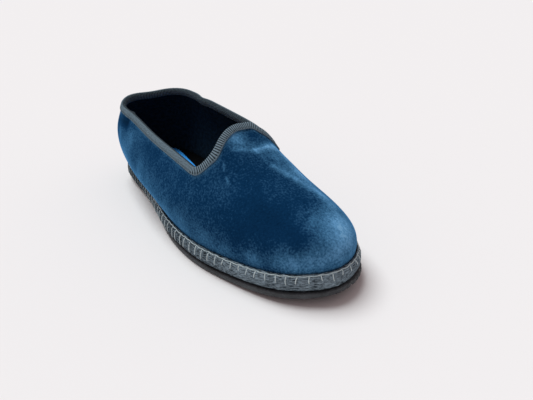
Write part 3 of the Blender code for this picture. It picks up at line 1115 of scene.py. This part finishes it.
@dataclass
class CollarBinding:
    """The grosgrain tape folded over the collar, and its row of stitches.

    Attributes:
        width: How far down each side the tape reaches.
        thickness: The tape's thickness.
        gap: Clearance over the wall.
        fold: Height of the fold over the collar.
        bend_steps: Steps round the fold.
        rib_pitch: Spacing of the cords across the tape, drawn wider than it is so that they show.
        rib_height: How far the cords stand proud.
        rib_steps: Steps along the tape for each cord.
        edge: Width of the smooth edge along both sides of the tape.
        lap_turn: Place on the collar where one end of the tape lies over the other.
        lap: How far the upper end stands proud.
        lap_run: How far along the tape it does.
        stitch_pitch: Spacing of the stitches.
        stitch_length: Length of each stitch.
        stitch_depth: Distance of the stitches below the collar.
        stitch_wander: How far a stitch lies out of its place, as a share of the spacing.
        stitch_steps: Steps along a stitch and round it.
        thread: Radius of the thread.
        cord_light_and_shade: Tones between the cords and on top of them: painted shade between,
            painted highlight on top.
        edge_tone: Tone of the smooth edge.
        seam_shade: How much the cords fade beside the edge, a painted shade along the row of stitches.
        fold_fade: How much they fade over the fold.
        fold_tone: The tone that they fade to.
        inner_shade: How much duller the inner face is, a painted shade.
        inner_fold_shade: How much darker the inner side of the fold is, a painted shade.
    """

    width: float = 3.9
    thickness: float = 0.6
    gap: float = 0.3
    fold: float = 1.0
    bend_steps: int = 8
    rib_pitch: float = 1.4
    rib_height: float = 0.14
    rib_steps: int = 4
    edge: float = 0.6
    lap_turn: float = 2.65
    lap: float = 0.7
    lap_run: float = 12.0
    stitch_pitch: float = 6.3
    stitch_length: float = 1.1
    stitch_depth: float = 3.1
    stitch_wander: float = 0.12
    stitch_steps: tuple[int, int] = (4, 5)
    thread: float = 0.2
    cord_light_and_shade: tuple[float, float] = (-0.35, 1.35)
    edge_tone: float = 0.65
    seam_shade: float = 0.6
    fold_fade: float = 0.6
    fold_tone: float = 0.45
    inner_shade: float = 0.15
    inner_fold_shade: float = 0.45

    def __post_init__(self) -> None:
        """Measure the collar, count the cords and draw the tape's section."""
        self.length = LAST.collar_lengths[-1]
        self.ribs = round(self.length / self.rib_pitch)
        self.lap_start = np.interp(self.lap_turn, LAST.turns, LAST.collar_lengths)
        self.depth, self.off, self.rise = self.section(Upper.wall)
        self.corners = np.linspace(0.0, 1.0, len(self.depth))

    def section(self, wall: float) -> tuple[Array, Array, Array]:
        """Draw the tape's closed section: up its outer face, over the fold, down, and back inside.

        Args:
            wall: Thickness of the wall that the tape is folded over.

        Returns:
            The section's distances below the collar, off the wall's outer face, and up past the collar.
        """
        bend = np.linspace(0.0, np.pi, self.bend_steps + 1)
        face, half = self.gap + self.thickness, wall / 2
        outer = (face + half) * np.cos(bend) - half
        inner = (self.gap + half) * np.cos(bend[::-1]) - half
        rise_out = self.gap + (self.fold - self.gap) * np.sin(bend)
        rise_in = self.gap + (self.fold - self.thickness - self.gap) * np.sin(bend)
        # Each leg of the tape has lines across it at these depths, and the first two round its edge.
        leg = self.width - self.edge * np.array((0.0, 0.25, 0.8, 1.2, 1.8, 3.5, 5.5))
        rounded = self.thickness * np.array((0.5, 0.1, 0.0, 0.0, 0.0, 0.0, 0.0))
        flat, top = np.zeros(len(leg)), np.zeros(len(bend))
        depth = np.concatenate((leg, top, leg[::-1], leg, top, leg[::-1], leg[:1]))
        off = np.concatenate((
            face - rounded,
            outer,
            (rounded - wall - face)[::-1],
            flat - wall - self.gap,
            inner,
            flat + self.gap,
            (face - rounded)[:1],
        ))
        rise = np.concatenate((flat, rise_out, flat, flat, rise_in, flat, flat[:1]))
        return depth, off, rise

    def at(self, v: Array) -> tuple[Array, Array, Array]:
        """Find the section's depth, offset and rise at shares round it."""
        return tuple(np.interp(v, self.corners, column) for column in (self.depth, self.off, self.rise))

    def shown(self, off: Array) -> Array:
        """Tell which side of the wall an outer face of the tape is on: 1, -1, or 0 for a hidden face."""
        middle = off + Upper.wall / 2
        return np.sign(middle) * (np.abs(middle) > Upper.wall / 2 + self.gap + HAIR)

    def cord(self, u: Array) -> Array:
        """Rise from 0 between two cords to 1 on top of each."""
        return 0.5 + 0.5 * np.cos(math.tau * self.ribs * u)

    def square_turn(self, u: Array, depth: Array) -> Array:
        """Find the places on the wall that lie straight below places of the collar.

        Args:
            u: Shares of the collar's length.
            depth: Distances below the collar.

        Returns:
            Places round the shoe.
        """
        start = LAST.collar_turn(u % 1.0)
        run = unit(LAST.collar.at(start + NEAR_TURN) - LAST.collar.at(start - NEAR_TURN))
        turn, share = start, u
        # A few rounds are enough for the places to settle.
        for _ in range(4):
            below = LAST.plain_wall(turn, LAST.share_below_collar(turn, depth)) - LAST.collar.at(start)
            share = share - np.sum(below * run, axis=-1) / self.length
            turn = LAST.collar_turn(share % 1.0)
        return turn

    def place(self, u: Array, v: Array) -> Array:
        """Find points of the tape, with its cords and the lap of its ends."""
        deep, away, up = self.at(v)
        turn = self.square_turn(u, deep)
        past = (u % 1.0) * self.length - self.lap_start
        lap = self.lap * bump(past, 0.0, self.lap_run)
        proud = lap + self.rib_height * self.cord(u) * step_up(self.width - deep, 0.0, self.edge)
        face = self.shown(away)
        points = LAST.wall(turn, LAST.share_below_collar(turn, deep), away + face * proud)
        lift = up + (up > self.gap) * (face != 0) * proud
        return points + lift[:, None] * LAST.collar_rise(turn)

    def tone(self, u: Array, v: Array) -> Array:
        """Find the tape's tones: painted highlight and shade on the cords, pale edges beside a painted
        shade along the stitches, and a painted shade on the inner face and fold.
        """
        deep, away, up = self.at(v)
        inside = self.width - deep
        edge = 1.0 - step_up(inside, 0.6 * self.edge, self.edge)
        # A painted shade along the row of stitches beside the edge.
        line = bump(inside, 0.7 * self.edge, 2.4 * self.edge)
        inner = step_up(-away, -0.2 * Upper.wall, 0.25 * Upper.wall)
        fold = step_up(up, self.gap, 0.6 * self.fold)
        # Painted highlight on the cords' tops and painted shade between them.
        between, on_top = self.cord_light_and_shade
        cords = (between + (on_top - between) * self.cord(u)) * (1.0 - self.seam_shade * line)
        cords = cords + (self.fold_tone - cords) * self.fold_fade * fold
        tones = edge * self.edge_tone + (1.0 - edge) * cords
        # Painted shade on the inner face, darker still on the inner side of the fold.
        return tones * (1.0 - self.inner_shade * inner) - self.inner_fold_shade * inner * fold

    def build(self) -> None:
        """Build and dress the tape and its stitches."""
        tape = Piece("collar_tape")
        tape.add_grid(self.ribs * self.rib_steps, len(self.depth) - 1, self.place, self.tone)
        tape.finish(GROSGRAIN.make(), "grosgrain_tape", "collar_binding")
        self.build_seam()

    def build_seam(self) -> None:
        """Sew a row of stitches on both faces of the tape."""
        seam = Piece("collar_seam")
        count = round(self.length / self.stitch_pitch)
        face = self.gap + self.thickness + 0.5 * self.rib_height
        for off in (face, -Upper.wall - face):
            for i in range(count):
                start = (i + 0.5 + self.stitch_wander * scatter(i, off)) / count

                def place(u: Array, v: Array, start: float = start, off: float = off) -> Array:
                    """Find points of one stitch."""
                    turn = LAST.collar_turn((start + (u - 0.5) * self.stitch_length / self.length) % 1.0)
                    share = LAST.share_below_collar(turn, np.full_like(u, self.stitch_depth))
                    round_in = self.thread * np.sqrt(np.clip(1.0 - (2 * u - 1) ** 2, 0.0, 1.0))
                    angle = math.tau * v
                    sunk = -np.sign(off) * self.thread * (2 * u - 1) ** 2
                    middle = LAST.wall(turn, share, off + sunk)
                    across = LAST.collar_rise(turn) * (round_in * np.sin(angle))[:, None]
                    out = LAST.normal(turn, share) * (round_in * np.cos(angle))[:, None]
                    return middle + across + out

                seam.add_grid(*self.stitch_steps, place)
        seam.finish(SEAM_THREAD.make(), "grosgrain_tape")


class EdgePoint(NamedTuple):
    """A corner of a sole layer's side.

    Attributes:
        out: Distance out of the foot line.
        up: Height over the layer's underside.
    """

    out: float
    up: float


@dataclass
class SoleLayer:
    """A layer of the sole: a closed side, filled across below and on top.

    Attributes:
        name: The piece's name.
        base: Height of the layer's underside over the tread line.
        edge: Its side, from the underside up.
        around: Steps round the shoe, an even number.
        across: Steps up the side.
        rungs: Steps from side to side.
    """

    name: str
    base: float
    edge: tuple[EdgePoint, ...]
    around: int
    across: int
    rungs: int

    def side(self, u: Array, v: Array) -> Array:
        """Find points of the layer's side, before any relief, at even lengths of its section."""
        corners = np.array(self.edge)
        lengths = np.concatenate(([0.0], np.cumsum(np.linalg.norm(np.diff(corners, axis=0), axis=1))))
        at = v * lengths[-1]
        out, up = (np.interp(at, lengths, column) for column in corners.T)
        turn = LAST.foot_turn(u % 1.0)
        return LAST.beside_foot(turn, self.set_in(turn, out), self.base + up)

    def set_in(self, turn: Array, out: Array) -> Array:
        """Move the side in where the layer is narrower. A plain layer stays as it is."""
        del turn
        return out

    def tone(self, u: Array, v: Array) -> Array:
        """Find the tones of the side. A plain layer has none."""
        del v
        return np.zeros_like(u)

    def fill(self, end: float) -> Place:
        """Make the function that fills the side's first or last line from side to side."""

        def place(u: Array, v: Array) -> Array:
            """Find points of the fill, from the heel to the toe and from the outer side to the inner."""
            level = np.full_like(u, end)
            outer, inner = self.side(u / 2, level), self.side(1.0 - u / 2, level)
            return outer + (inner - outer) * v[:, None]

        return place

    def build_piece(self) -> Piece:
        """Build the layer's mesh."""
        piece = Piece(self.name)
        piece.add_grid(self.around, self.across, self.side, self.tone)
        for end in (0.0, 1.0):
            piece.add_grid(self.around // 2, self.rungs, self.fill(end))
        return piece


@dataclass
class ClothSole(SoleLayer):
    """The padded cloth sole with canvas over its rim, and the blanket stitch that closes it.

    Attributes:
        clearance: How far the lip stands off the foot line.
        flattening: How much flatter the rim is between heel and ball.
        flat_span: Shares of the length between which it is.
        stitch_pitch: Spacing of the blanket stitch.
        stitch_line: Share of the side at which its upper thread runs.
        bar_end: Share of the side at which its bars go in.
        bar_reach: How far above or below that some do.
        bar_longer: How much farther down they go from the heel to the ball.
        flank_span: Shares of the length over which the flank turns to the toe.
        bar_lean: How far along some bars lean, as a share of the spacing.
        sag: How far the upper thread sags between bars, as a share of the side.
        thread: Radius of the thread.
        pull: How far the bars pull the padding in.
        groove: How far the upper thread does.
        ripple: Height of the rim's unevenness.
        heel_span: Shares of the length over which the bars come out from the heel.
        heel_show: How much of a bar shows at the heel.
        pull_width: Half of the width that a bar pulls in.
        pull_past: How far past a bar's ends it does, as a share of the side.
        groove_width: Half of the width that the upper thread pulls in, as a share of the side.
        thread_proud: How far the thread stands out of the canvas, as a share of its radius.
        thread_sides: Steps round the thread.
        stitch_steps: Steps along a bar, and along the upper thread from bar to bar.
        bar_fade: How much darker a bar gets to its lower end.
        upper_tone: Tone of the upper thread.
        upper_worn: How much that tone varies.
        clean_tone: Tone of clean canvas.
        worn_tone: How much that tone varies.
        foot_shades: Painted shade in the recess at the foot of the rim and over its lower half: how
            much darker, with the shares of the side where each ends.
        lip_shade: How much darker the lip is.
        lip_span: Shares of the side past the upper thread over which it begins.
        cell_shade: How much darker the canvas is between bars.
        cell_low: Share of the side from which it is.
        flank_shade: How much darker the flank is than the toe, a painted shade.
        heel_shade: How much darker the heel is where no bars show, a painted shade.
    """

    name: str = "cloth_sole_rim"
    base: float = 4.6
    edge: tuple[EdgePoint, ...] = (
        EdgePoint(-1.5, 0.0),
        EdgePoint(-0.4, 0.25),
        EdgePoint(1.3, 0.7),
        EdgePoint(2.4, 1.5),
        EdgePoint(3.0, 2.7),
        EdgePoint(3.2, 4.2),
        EdgePoint(3.2, 5.8),
        EdgePoint(3.0, 7.3),
        EdgePoint(2.75, 8.5),
        EdgePoint(2.4, 9.4),
        EdgePoint(2.0, 10.1),
        EdgePoint(1.75, 10.4),
        EdgePoint(1.75, 10.6),
        EdgePoint(1.5, 10.8),
        EdgePoint(1.1, 10.9),
        EdgePoint(0.7, 10.9),
        EdgePoint(0.4, 10.7),
        EdgePoint(0.4, 8.4),
    )
    around: int = 1180
    across: int = 60
    rungs: int = 6
    clearance: float = 0.4
    flattening: float = 0.5
    flat_span: tuple[float, float] = (-0.15, 0.60)
    stitch_pitch: float = 6.0
    stitch_line: float = 0.773
    bar_end: float = 0.52
    bar_reach: float = 0.07
    bar_longer: float = 0.27
    flank_span: tuple[float, float] = (0.55, 0.85)
    bar_lean: float = 0.16
    sag: float = 0.010
    thread: float = 0.3
    pull: float = 0.45
    groove: float = 0.3
    ripple: float = 0.16
    heel_span: tuple[float, float] = (0.24, 0.42)
    heel_show: float = 0.35
    pull_width: float = 0.7
    pull_past: float = 0.12
    groove_width: float = 0.025
    thread_proud: float = 0.3
    thread_sides: int = 6
    stitch_steps: int = 8
    bar_fade: float = 0.25
    upper_tone: float = -0.55
    upper_worn: float = 0.2
    clean_tone: float = 0.08
    worn_tone: float = 0.12
    foot_shades: tuple[tuple[float, tuple[float, float]], ...] = (
        (1.4, (0.08, 0.22)),
        (0.25, (0.15, 0.55)),
    )
    lip_shade: float = 0.12
    lip_span: tuple[float, float] = (-0.01, 0.03)
    cell_shade: float = 0.15
    cell_low: float = 0.3
    flank_shade: float = 0.4
    heel_shade: float = 0.5

    def __post_init__(self) -> None:
        """Count the stitches round the rim."""
        self.stitches = round(LAST.foot_lengths[-1] / self.stitch_pitch)

    def set_in(self, turn: Array, out: Array) -> Array:
        """Flatten the rim between heel and ball."""
        along = LAST.along(LAST.foot.at(turn)[..., 1])
        return out - (out - self.clearance) * self.flattening * bump(along, *self.flat_span)

    def shown(self, u: Array) -> Array:
        """Find how much of the bars shows: little at the heel, where they are drawn in tight."""
        along = LAST.along(LAST.foot.at(LAST.foot_turn(u % 1.0))[..., 1])
        return self.heel_show + (1.0 - self.heel_show) * step_up(along, *self.heel_span)

    def side(self, u: Array, v: Array) -> Array:
        """Find points of the rim, uneven and dented where the stitches pull."""
        plain = super().side
        upward = plain(u, np.minimum(v + NEAR_SHARE, 1.0)) - plain(u, np.maximum(v - NEAR_SHARE, 0.0))
        run = plain(u + 0.1 * NEAR_SHARE, v) - plain(u - 0.1 * NEAR_SHARE, v)
        out = unit(np.cross(run, upward))
        near = u * self.stitches - np.round(u * self.stitches)
        bar = np.exp(-((near * self.stitch_pitch / self.pull_width) ** 2))
        low = self.bar_end - self.pull_past
        dent = self.shown(u) * bar * bump(v, low, 2 * self.stitch_line - low)
        groove = np.exp(-(((v - self.stitch_line) / self.groove_width) ** 2))
        # Each wave goes round the shoe a whole number of times, so that it closes.
        angle, rise = math.tau * u, math.tau * v
        ripple = np.sin(37 * angle) * np.sin(91 * angle + 5 * v)
        ripple = ripple + 0.6 * np.sin(173 * angle + 9 * v) * np.sin(61 * angle + 2.5 * rise)
        away = self.ripple * ripple - self.pull * dent - self.groove * groove
        return plain(u, v) + out * (away * bump(v, 0.0, 1.0) ** 0.4)[:, None]

    def tone(self, u: Array, v: Array) -> Array:
        """Find the rim's tones: dark under the upper thread and on the lip, and painted shade at the
        foot of the rim, on the flank and at the heel.
        """
        lip = step_up(v - self.stitch_line, *self.lip_span)
        # Painted shade in the recess at the foot of the rim and over its lower half.
        foot = sum(shade * (1.0 - step_up(v, *span)) for shade, span in self.foot_shades)
        worn = self.worn_tone * np.sin(math.tau * u * 17) * np.sin(math.tau * u * 29 + 1.0)
        flank = 1.0 - step_up(LAST.along(super().side(u, v)[:, 1]), *self.flank_span)
        cell = np.sin(math.pi * u * self.stitches) ** 2
        cell = cell * bump(v, self.cell_low, 2 * self.stitch_line - self.cell_low)
        dark = self.lip_shade * lip + foot + self.cell_shade * cell
        # Painted shade on the flank and at the heel.
        dark = dark + self.flank_shade * flank + self.heel_shade * (1.0 - self.shown(u))
        return self.clean_tone + worn - dark

    def build(self) -> None:
        """Build and dress the sole and its stitches."""
        made = self.build_piece().finish(CANVAS.make(), "quilted_canvas", "cloth_sole")
        self.build_stitches()

    def tube(
        self, piece: Piece, path: Callable[[Array], tuple[Array, Array]], steps: int, fade: float
    ) -> None:
        """Sweep a round thread along a path on the rim.

        Args:
            piece: The piece that takes the thread.
            path: Gives the rim's two shares for shares along the thread.
            steps: Steps along the thread.
            fade: How much darker the thread gets to its closed end, or 0 for a thread that runs round.
        """

        def place(u: Array, v: Array) -> Array:
            """Find points of the thread."""
            ahead, behind = np.minimum(u + NEAR_SHARE, 1.0), np.maximum(u - NEAR_SHARE, 0.0)
            run = self.side(*path(ahead)) - self.side(*path(behind))
            out = unit(LAST.foot_out(LAST.foot_turn(path(u)[0] % 1.0)) + 0.2 * UP)
            across = unit(np.cross(run, out))
            radius = np.full_like(u, self.thread)
            if fade:
                closed = np.sqrt(np.clip(1.0 - (2 * u - 1) ** 6, 0.0, 1.0))
                radius = radius * closed * self.shown(path(u)[0])
            angle = math.tau * v
            ring = across * np.cos(angle)[:, None] + out * np.sin(angle)[:, None]
            middle = self.side(*path(u)) + self.thread_proud * self.thread * out
            return middle + radius[:, None] * ring

        def tone(u: Array, v: Array) -> Array:
            """Darken the thread to its end, or dull it in places if it runs round."""
            del v
            worn = self.upper_worn * np.sin(math.tau * u * 47) * np.sin(math.tau * u * 31)
            return -fade * u if fade else self.upper_tone + worn

        piece.add_grid(steps, self.thread_sides, place, tone)

    def build_stitches(self) -> None:
        """Sew the blanket stitch: a thread along the rim and a bar down at each stitch."""
        piece = Piece("blanket_stitch")
        count = self.stitches

        def upper_thread(u: Array) -> tuple[Array, Array]:
            """Run round the rim, sagging a little between bars."""
            sag = self.sag * np.sin(math.pi * u * count) ** 2
            drift = 0.4 * self.sag * (np.sin(math.tau * u * 23) + 0.7 * np.sin(math.tau * u * 61))
            return u, self.stitch_line - sag + drift

        self.tube(piece, upper_thread, count * self.stitch_steps, fade=0.0)
        for i in range(count):

            def bar(u: Array, i: int = i) -> tuple[Array, Array]:
                """Run down from the upper thread to where the bar goes in."""
                start = upper_thread(np.array((i / count,)))[1]
                along = LAST.along(LAST.foot.at(LAST.foot_turn(np.array((i / count,))))[0, 1])
                end = self.bar_end + self.bar_reach * scatter(i, 2.0)
                end = end - self.bar_longer * (1.0 - step_up(along, *self.flank_span))
                bow = 0.5 * np.sin(math.pi * u) * scatter(i, 3.0)
                lean = self.bar_lean * (scatter(i, 1.0) * u + bow)
                return (i + lean) / count, start + (end - start) * u

            self.tube(piece, bar, self.stitch_steps, fade=self.bar_fade * (1.0 + scatter(i, 4.0)))
        piece.finish(THREAD.make(), "quilted_canvas")


@dataclass
class Outsole(SoleLayer):
    """The rubber outsole: waisted, with swept grooves that notch the edge at the inner side of the toe.

    Attributes:
        groove_width: Width of a groove.
        groove_depth: Its depth.
        groove_slope: Half of the width over which its edges slope.
        end_slope: Half of the length over which its ends do.
        notch_depth: How far a notch cuts into the side.
        notch_height: Height up the side at which it ends.
        groove_pitch: Spacing of the grooves.
        groove_slant: How far a groove runs back for each step away from the middle line.
        groove_border: How far inside the edge the grooves stop.
        groove_span: Shares of the length between which the tread is grooved.
        notch_start: Share of the length from which the grooves notch the inner edge.
        ragged: How uneven the cut edges are.
        inset: How far the waist is set in.
        inset_span: Shares of the length between which it is.
        flare: How far the inner side of the toe stands out.
        flare_out: Distance out of the foot line at which all of it does.
        flare_turns: Places on the foot line between which it does.
        nick_pitch: Spacing of the nicks in that edge.
        nick_depth: Their depth.
        nick_cut: How far they cut into the side, as a share of the depth.
    """

    name: str = "rubber_outsole"
    base: float = 0.0
    edge: tuple[EdgePoint, ...] = (
        EdgePoint(1.0, 0.0),
        EdgePoint(1.7, 0.2),
        EdgePoint(2.2, 0.8),
        EdgePoint(2.4, 1.6),
        EdgePoint(2.4, 3.0),
        EdgePoint(2.2, 3.7),
        EdgePoint(1.4, 4.1),
        EdgePoint(0.2, 4.3),
    )
    around: int = 1400
    across: int = 14
    rungs: int = 44
    groove_width: float = 3.0
    groove_depth: float = 1.8
    groove_slope: float = 0.4
    end_slope: float = 1.0
    notch_depth: float = 1.3
    notch_height: float = 3.4
    groove_pitch: float = 9.0
    groove_slant: float = 0.15
    groove_border: float = 5.0
    groove_span: tuple[float, float] = (0.036, 0.962)
    notch_start: float = 0.80
    ragged: float = 0.25
    inset: float = 5.0
    inset_span: tuple[float, float] = (-0.30, 0.64)
    flare: float = 1.6
    flare_out: float = 2.0
    flare_turns: tuple[float, float] = (12.6, 16.4)
    nick_pitch: float = 4.2
    nick_depth: float = 1.8
    nick_cut: float = 0.6

    def set_in(self, turn: Array, out: Array) -> Array:
        """Set the side in at the waist, and out at the inner side of the toe."""
        along = LAST.along(LAST.foot.at(turn)[..., 1])
        flare = self.flare * bump(turn, *self.flare_turns) * step_up(out, 0.0, self.flare_out)
        return out - self.inset * bump(along, *self.inset_span) + flare

    def groove(self, points: Array, from_outer: Array, from_inner: Array) -> Array:
        """Tell what lies in a groove with ragged edges.

        Args:
            points: Points of the layer.
            from_outer: How far each lies from the tread's outer edge.
            from_inner: How far each lies from its inner edge.

        Returns:
            Shares from 0 outside a groove to 1 in it.
        """
        x, y, _ = points.T
        middle = y - self.groove_slant * np.abs(x)
        start = LAST.length / 2 + 0.5 * self.groove_pitch
        cell = (start - middle) / self.groove_pitch
        along = LAST.along(start - np.round(cell) * self.groove_pitch)
        away = np.abs(cell - np.round(cell)) * self.groove_pitch
        away = away + self.ragged * np.sin(1.3 * x) * np.sin(0.9 * y)
        half = self.groove_width / 2
        inside = 1.0 - step_up(away, half - self.groove_slope, half + self.groove_slope)
        border = (self.groove_border - self.end_slope, self.groove_border + self.end_slope)
        notched = np.where(along >= self.notch_start, 1.0, step_up(from_inner, *border))
        inside = inside * step_up(from_outer, *border) * notched
        return inside * ((along > self.groove_span[0]) & (along < self.groove_span[1]))

    def nick(self, u: Array) -> Array:
        """Find the depth of the nicks in the edge at the inner side of the toe."""
        # Clipped waves whose spacing drifts.
        wave = math.tau * u * LAST.foot_lengths[-1] / self.nick_pitch
        nicks = np.clip(1.4 * np.sin(wave + np.sin(0.31 * wave)), 0.0, 1.0)
        return self.nick_depth * nicks * bump(LAST.foot_turn(u % 1.0), *self.flare_turns)

    def side(self, u: Array, v: Array) -> Array:
        """Find points of the side, notched by the grooves and nicked."""
        points = super().side(u, v)
        inner = (u % 1.0) > 0.5
        notch = self.groove(points, np.where(inner, LAST.ball_width, 0.0), np.zeros_like(u))
        height = points[:, 2] - LAST.tread_lift(points[:, 1])
        low = np.clip(1.0 - height / self.notch_height, 0.0, 1.0)
        cut = (self.notch_depth * notch + self.nick_cut * self.nick(u)) * bump(v, 0.0, 1.0)
        points = points - cut[:, None] * LAST.foot_out(LAST.foot_turn(u % 1.0))
        lift = (self.groove_depth * notch + self.nick(u)) * low
        return points + lift[:, None] * UP

    def fill(self, end: float) -> Place:
        """Make the function that fills the tread or the top."""
        if end > 0:
            return super().fill(end)

        def place(u: Array, v: Array) -> Array:
            """Find points of the tread, with its grooves."""
            level = np.zeros_like(u)
            outer = SoleLayer.side(self, u / 2, level)
            inner = SoleLayer.side(self, 1.0 - u / 2, level)
            points = outer + (inner - outer) * v[:, None]
            points[:, 2] = LAST.tread_lift(points[:, 1])
            width = np.linalg.norm(inner - outer, axis=1)
            from_outer = np.where(v == 1.0, LAST.ball_width, v * width)
            lift = self.groove_depth * self.groove(points, from_outer, (1.0 - v) * width)
            lift = lift + np.where(v == 1.0, self.nick(1.0 - u / 2), 0.0)
            return points + lift[:, None] * UP

        return place

    def build(self) -> None:
        """Build and dress the outsole."""
        self.build_piece().finish(RUBBER.make(), "black_rubber", "outsole")


@dataclass
class Insole(SoleLayer):
    """The lining sock on the cloth sole, and the plain patch at its heel.

    Attributes:
        patch_middle: Place of the patch's middle.
        patch_half: Half of the patch's width and length.
        patch_taper: How much narrower it gets to its front end.
        patch_corner: How square its corners are, as a power.
        patch_edge: How sharply its top turns down at its edge, as a power.
        patch_gap: How far its underside stands off the sock.
        patch_height: Its thickness.
        patch_steps: Steps across it and along it.
    """

    name: str = "insole_sock"
    base: float = 13.3
    edge: tuple[EdgePoint, ...] = (
        EdgePoint(-2.7, 0.0),
        EdgePoint(-2.6, 2.2),
        EdgePoint(-2.9, 2.8),
        EdgePoint(-3.6, 3.0),
    )
    around: int = 360
    across: int = 6
    rungs: int = 24
    patch_middle: tuple[float, float] = (2.2, 80.0)
    patch_half: tuple[float, float] = (20.5, 32.0)
    patch_taper: float = 0.48
    patch_corner: float = 5.0
    patch_edge: float = 10.0
    patch_gap: float = 0.02
    patch_height: float = 0.35
    patch_steps: tuple[int, int] = (28, 36)

    def patch_side(self, height: float) -> Place:
        """Make the function that bends a grid to one face of the patch."""

        def place(u: Array, v: Array) -> Array:
            """Find points of the face, rounding the square grid's corners."""
            a, b = 2 * u - 1, 2 * v - 1
            square = np.maximum(np.abs(a), np.abs(b))
            power = self.patch_corner
            corner = (np.abs(a) ** power + np.abs(b) ** power) ** (1.0 / power)
            grow = square / np.maximum(corner, 1e-9)
            narrow = 1.0 - self.patch_taper * 0.5 * (1.0 - b * grow)
            x = self.patch_middle[0] + self.patch_half[0] * a * grow * narrow
            y = self.patch_middle[1] + self.patch_half[1] * b * grow
            foot = self.base + self.edge[-1].up + LAST.tread_lift(y) + self.patch_gap
            return np.stack((x, y, foot + height * (1.0 - square**self.patch_edge)), axis=-1)

        return place

    def build(self) -> None:
        """Build and dress the sock and its patch."""
        made = self.build_piece().finish(FELT.make(), "black_lining", "insole")
        patch = Piece("insole_patch")
        for height in (0.0, self.patch_height):
            patch.add_grid(*self.patch_steps, self.patch_side(height))
        patch.finish(PATCH.make(), "black_lining")


@dataclass
class Studio:
    """The floor, the light and the camera.

    Attributes:
        azimuth: The camera's direction round the shoe, in degrees.
        elevation: Its height over the floor, in degrees.
        roll: Its turn about its own axis, in degrees.
        distance: Its distance from the point it is aimed through.
        aim: That point, on the floor.
        focal: Focal length in pixels of the frame.
        frame_width: Width of the frame in pixels.
        sensor: Width of the sensor in millimetres.
        nearest: Distance in millimetres from which the camera sees.
        floor_size: Width of the floor in millimetres.
        room: Colour of the room's light.
        room_strength: Its strength.
        softbox: Strength of the light overhead.
        softbox_angle: How wide that light is, in degrees.
        softbox_from: Where it comes from.
        softbox_colour: Its colour.
    """

    azimuth: float = -34.5
    elevation: float = 27.0
    roll: float = -1.5
    distance: float = 389.0
    aim: tuple[float, float] = (43.0, -1.0)
    focal: float = 500.0
    frame_width: float = 533.0
    sensor: float = 36.0
    nearest: float = 10.0
    floor_size: float = 12000.0
    room: str = "#FFE8E9"
    room_strength: float = 0.36
    softbox: float = 2.64
    softbox_angle: float = 35.0
    softbox_from: tuple[float, float, float] = (-0.15, 0.38, 1.0)
    softbox_colour: str = "#F7FEFF"

    def build_camera(self) -> None:
        """Put the camera at the photograph's place."""
        a, e, r = (math.radians(x) for x in (self.azimuth, self.elevation, self.roll))
        back = Vector((math.sin(a) * math.cos(e), -math.cos(a) * math.cos(e), math.sin(e)))
        level = (-back).cross(Vector((0.0, 0.0, 1.0))).normalized()
        upright = level.cross(-back)
        right = math.cos(r) * level + math.sin(r) * upright
        up = math.cos(r) * upright - math.sin(r) * level
        data = bpy.data.cameras.new("camera")
        data.sensor_width = self.sensor
        data.lens = self.sensor * self.focal / self.frame_width
        data.clip_start = self.nearest * MM
        camera = bpy.data.objects.new("camera", data)
        turned = Matrix((right, up, back)).transposed()
        place = (Vector((*self.aim, 0.0)) + back * self.distance) * MM
        camera.matrix_world = Matrix.Translation(place) @ turned.to_4x4()
        bpy.context.scene.collection.objects.link(camera)
        bpy.context.scene.camera = camera

    def build_light(self) -> None:
        """Light the shoe softly from above and behind, in a pale room."""
        world = bpy.data.worlds.new("pale_room")
        world.use_nodes = True
        background = world.node_tree.nodes["Background"]
        background.inputs["Color"].default_value = srgb(self.room)
        background.inputs["Strength"].default_value = self.room_strength
        bpy.context.scene.world = world
        data = bpy.data.lights.new("softbox", "SUN")
        data.energy = self.softbox
        data.color = srgb(self.softbox_colour)[:3]
        data.angle = math.radians(self.softbox_angle)
        light = bpy.data.objects.new("softbox", data)
        light.rotation_euler = Vector(self.softbox_from).to_track_quat("Z", "Y").to_euler()
        bpy.context.scene.collection.objects.link(light)
        bpy.context.scene.view_settings.view_transform = "Standard"

    def build_floor(self) -> None:
        """Lay the pale floor."""
        floor = bmesh.new()
        bmesh.ops.create_grid(floor, x_segments=1, y_segments=1, size=self.floor_size / 2 * MM)
        data = bpy.data.meshes.new("floor")
        floor.to_mesh(data)
        floor.free()
        data.materials.append(PAPER.make())
        made = bpy.data.objects.new("floor", data)
        bpy.context.scene.collection.objects.link(made)

    def build(self) -> None:
        """Build the floor, the light and the camera."""
        self.build_camera()
        self.build_light()
        self.build_floor()


def main() -> None:
    """Build the studio and the slipper, piece by piece."""
    logging.basicConfig(level=logging.INFO, format="%(name)s %(message)s")
    for part in (Studio(), Outsole(), ClothSole(), Insole(), Upper(), CollarBinding()):
        LOG.info("building %s", type(part).__name__)
        part.build()


if __name__ == "__main__":
    main()
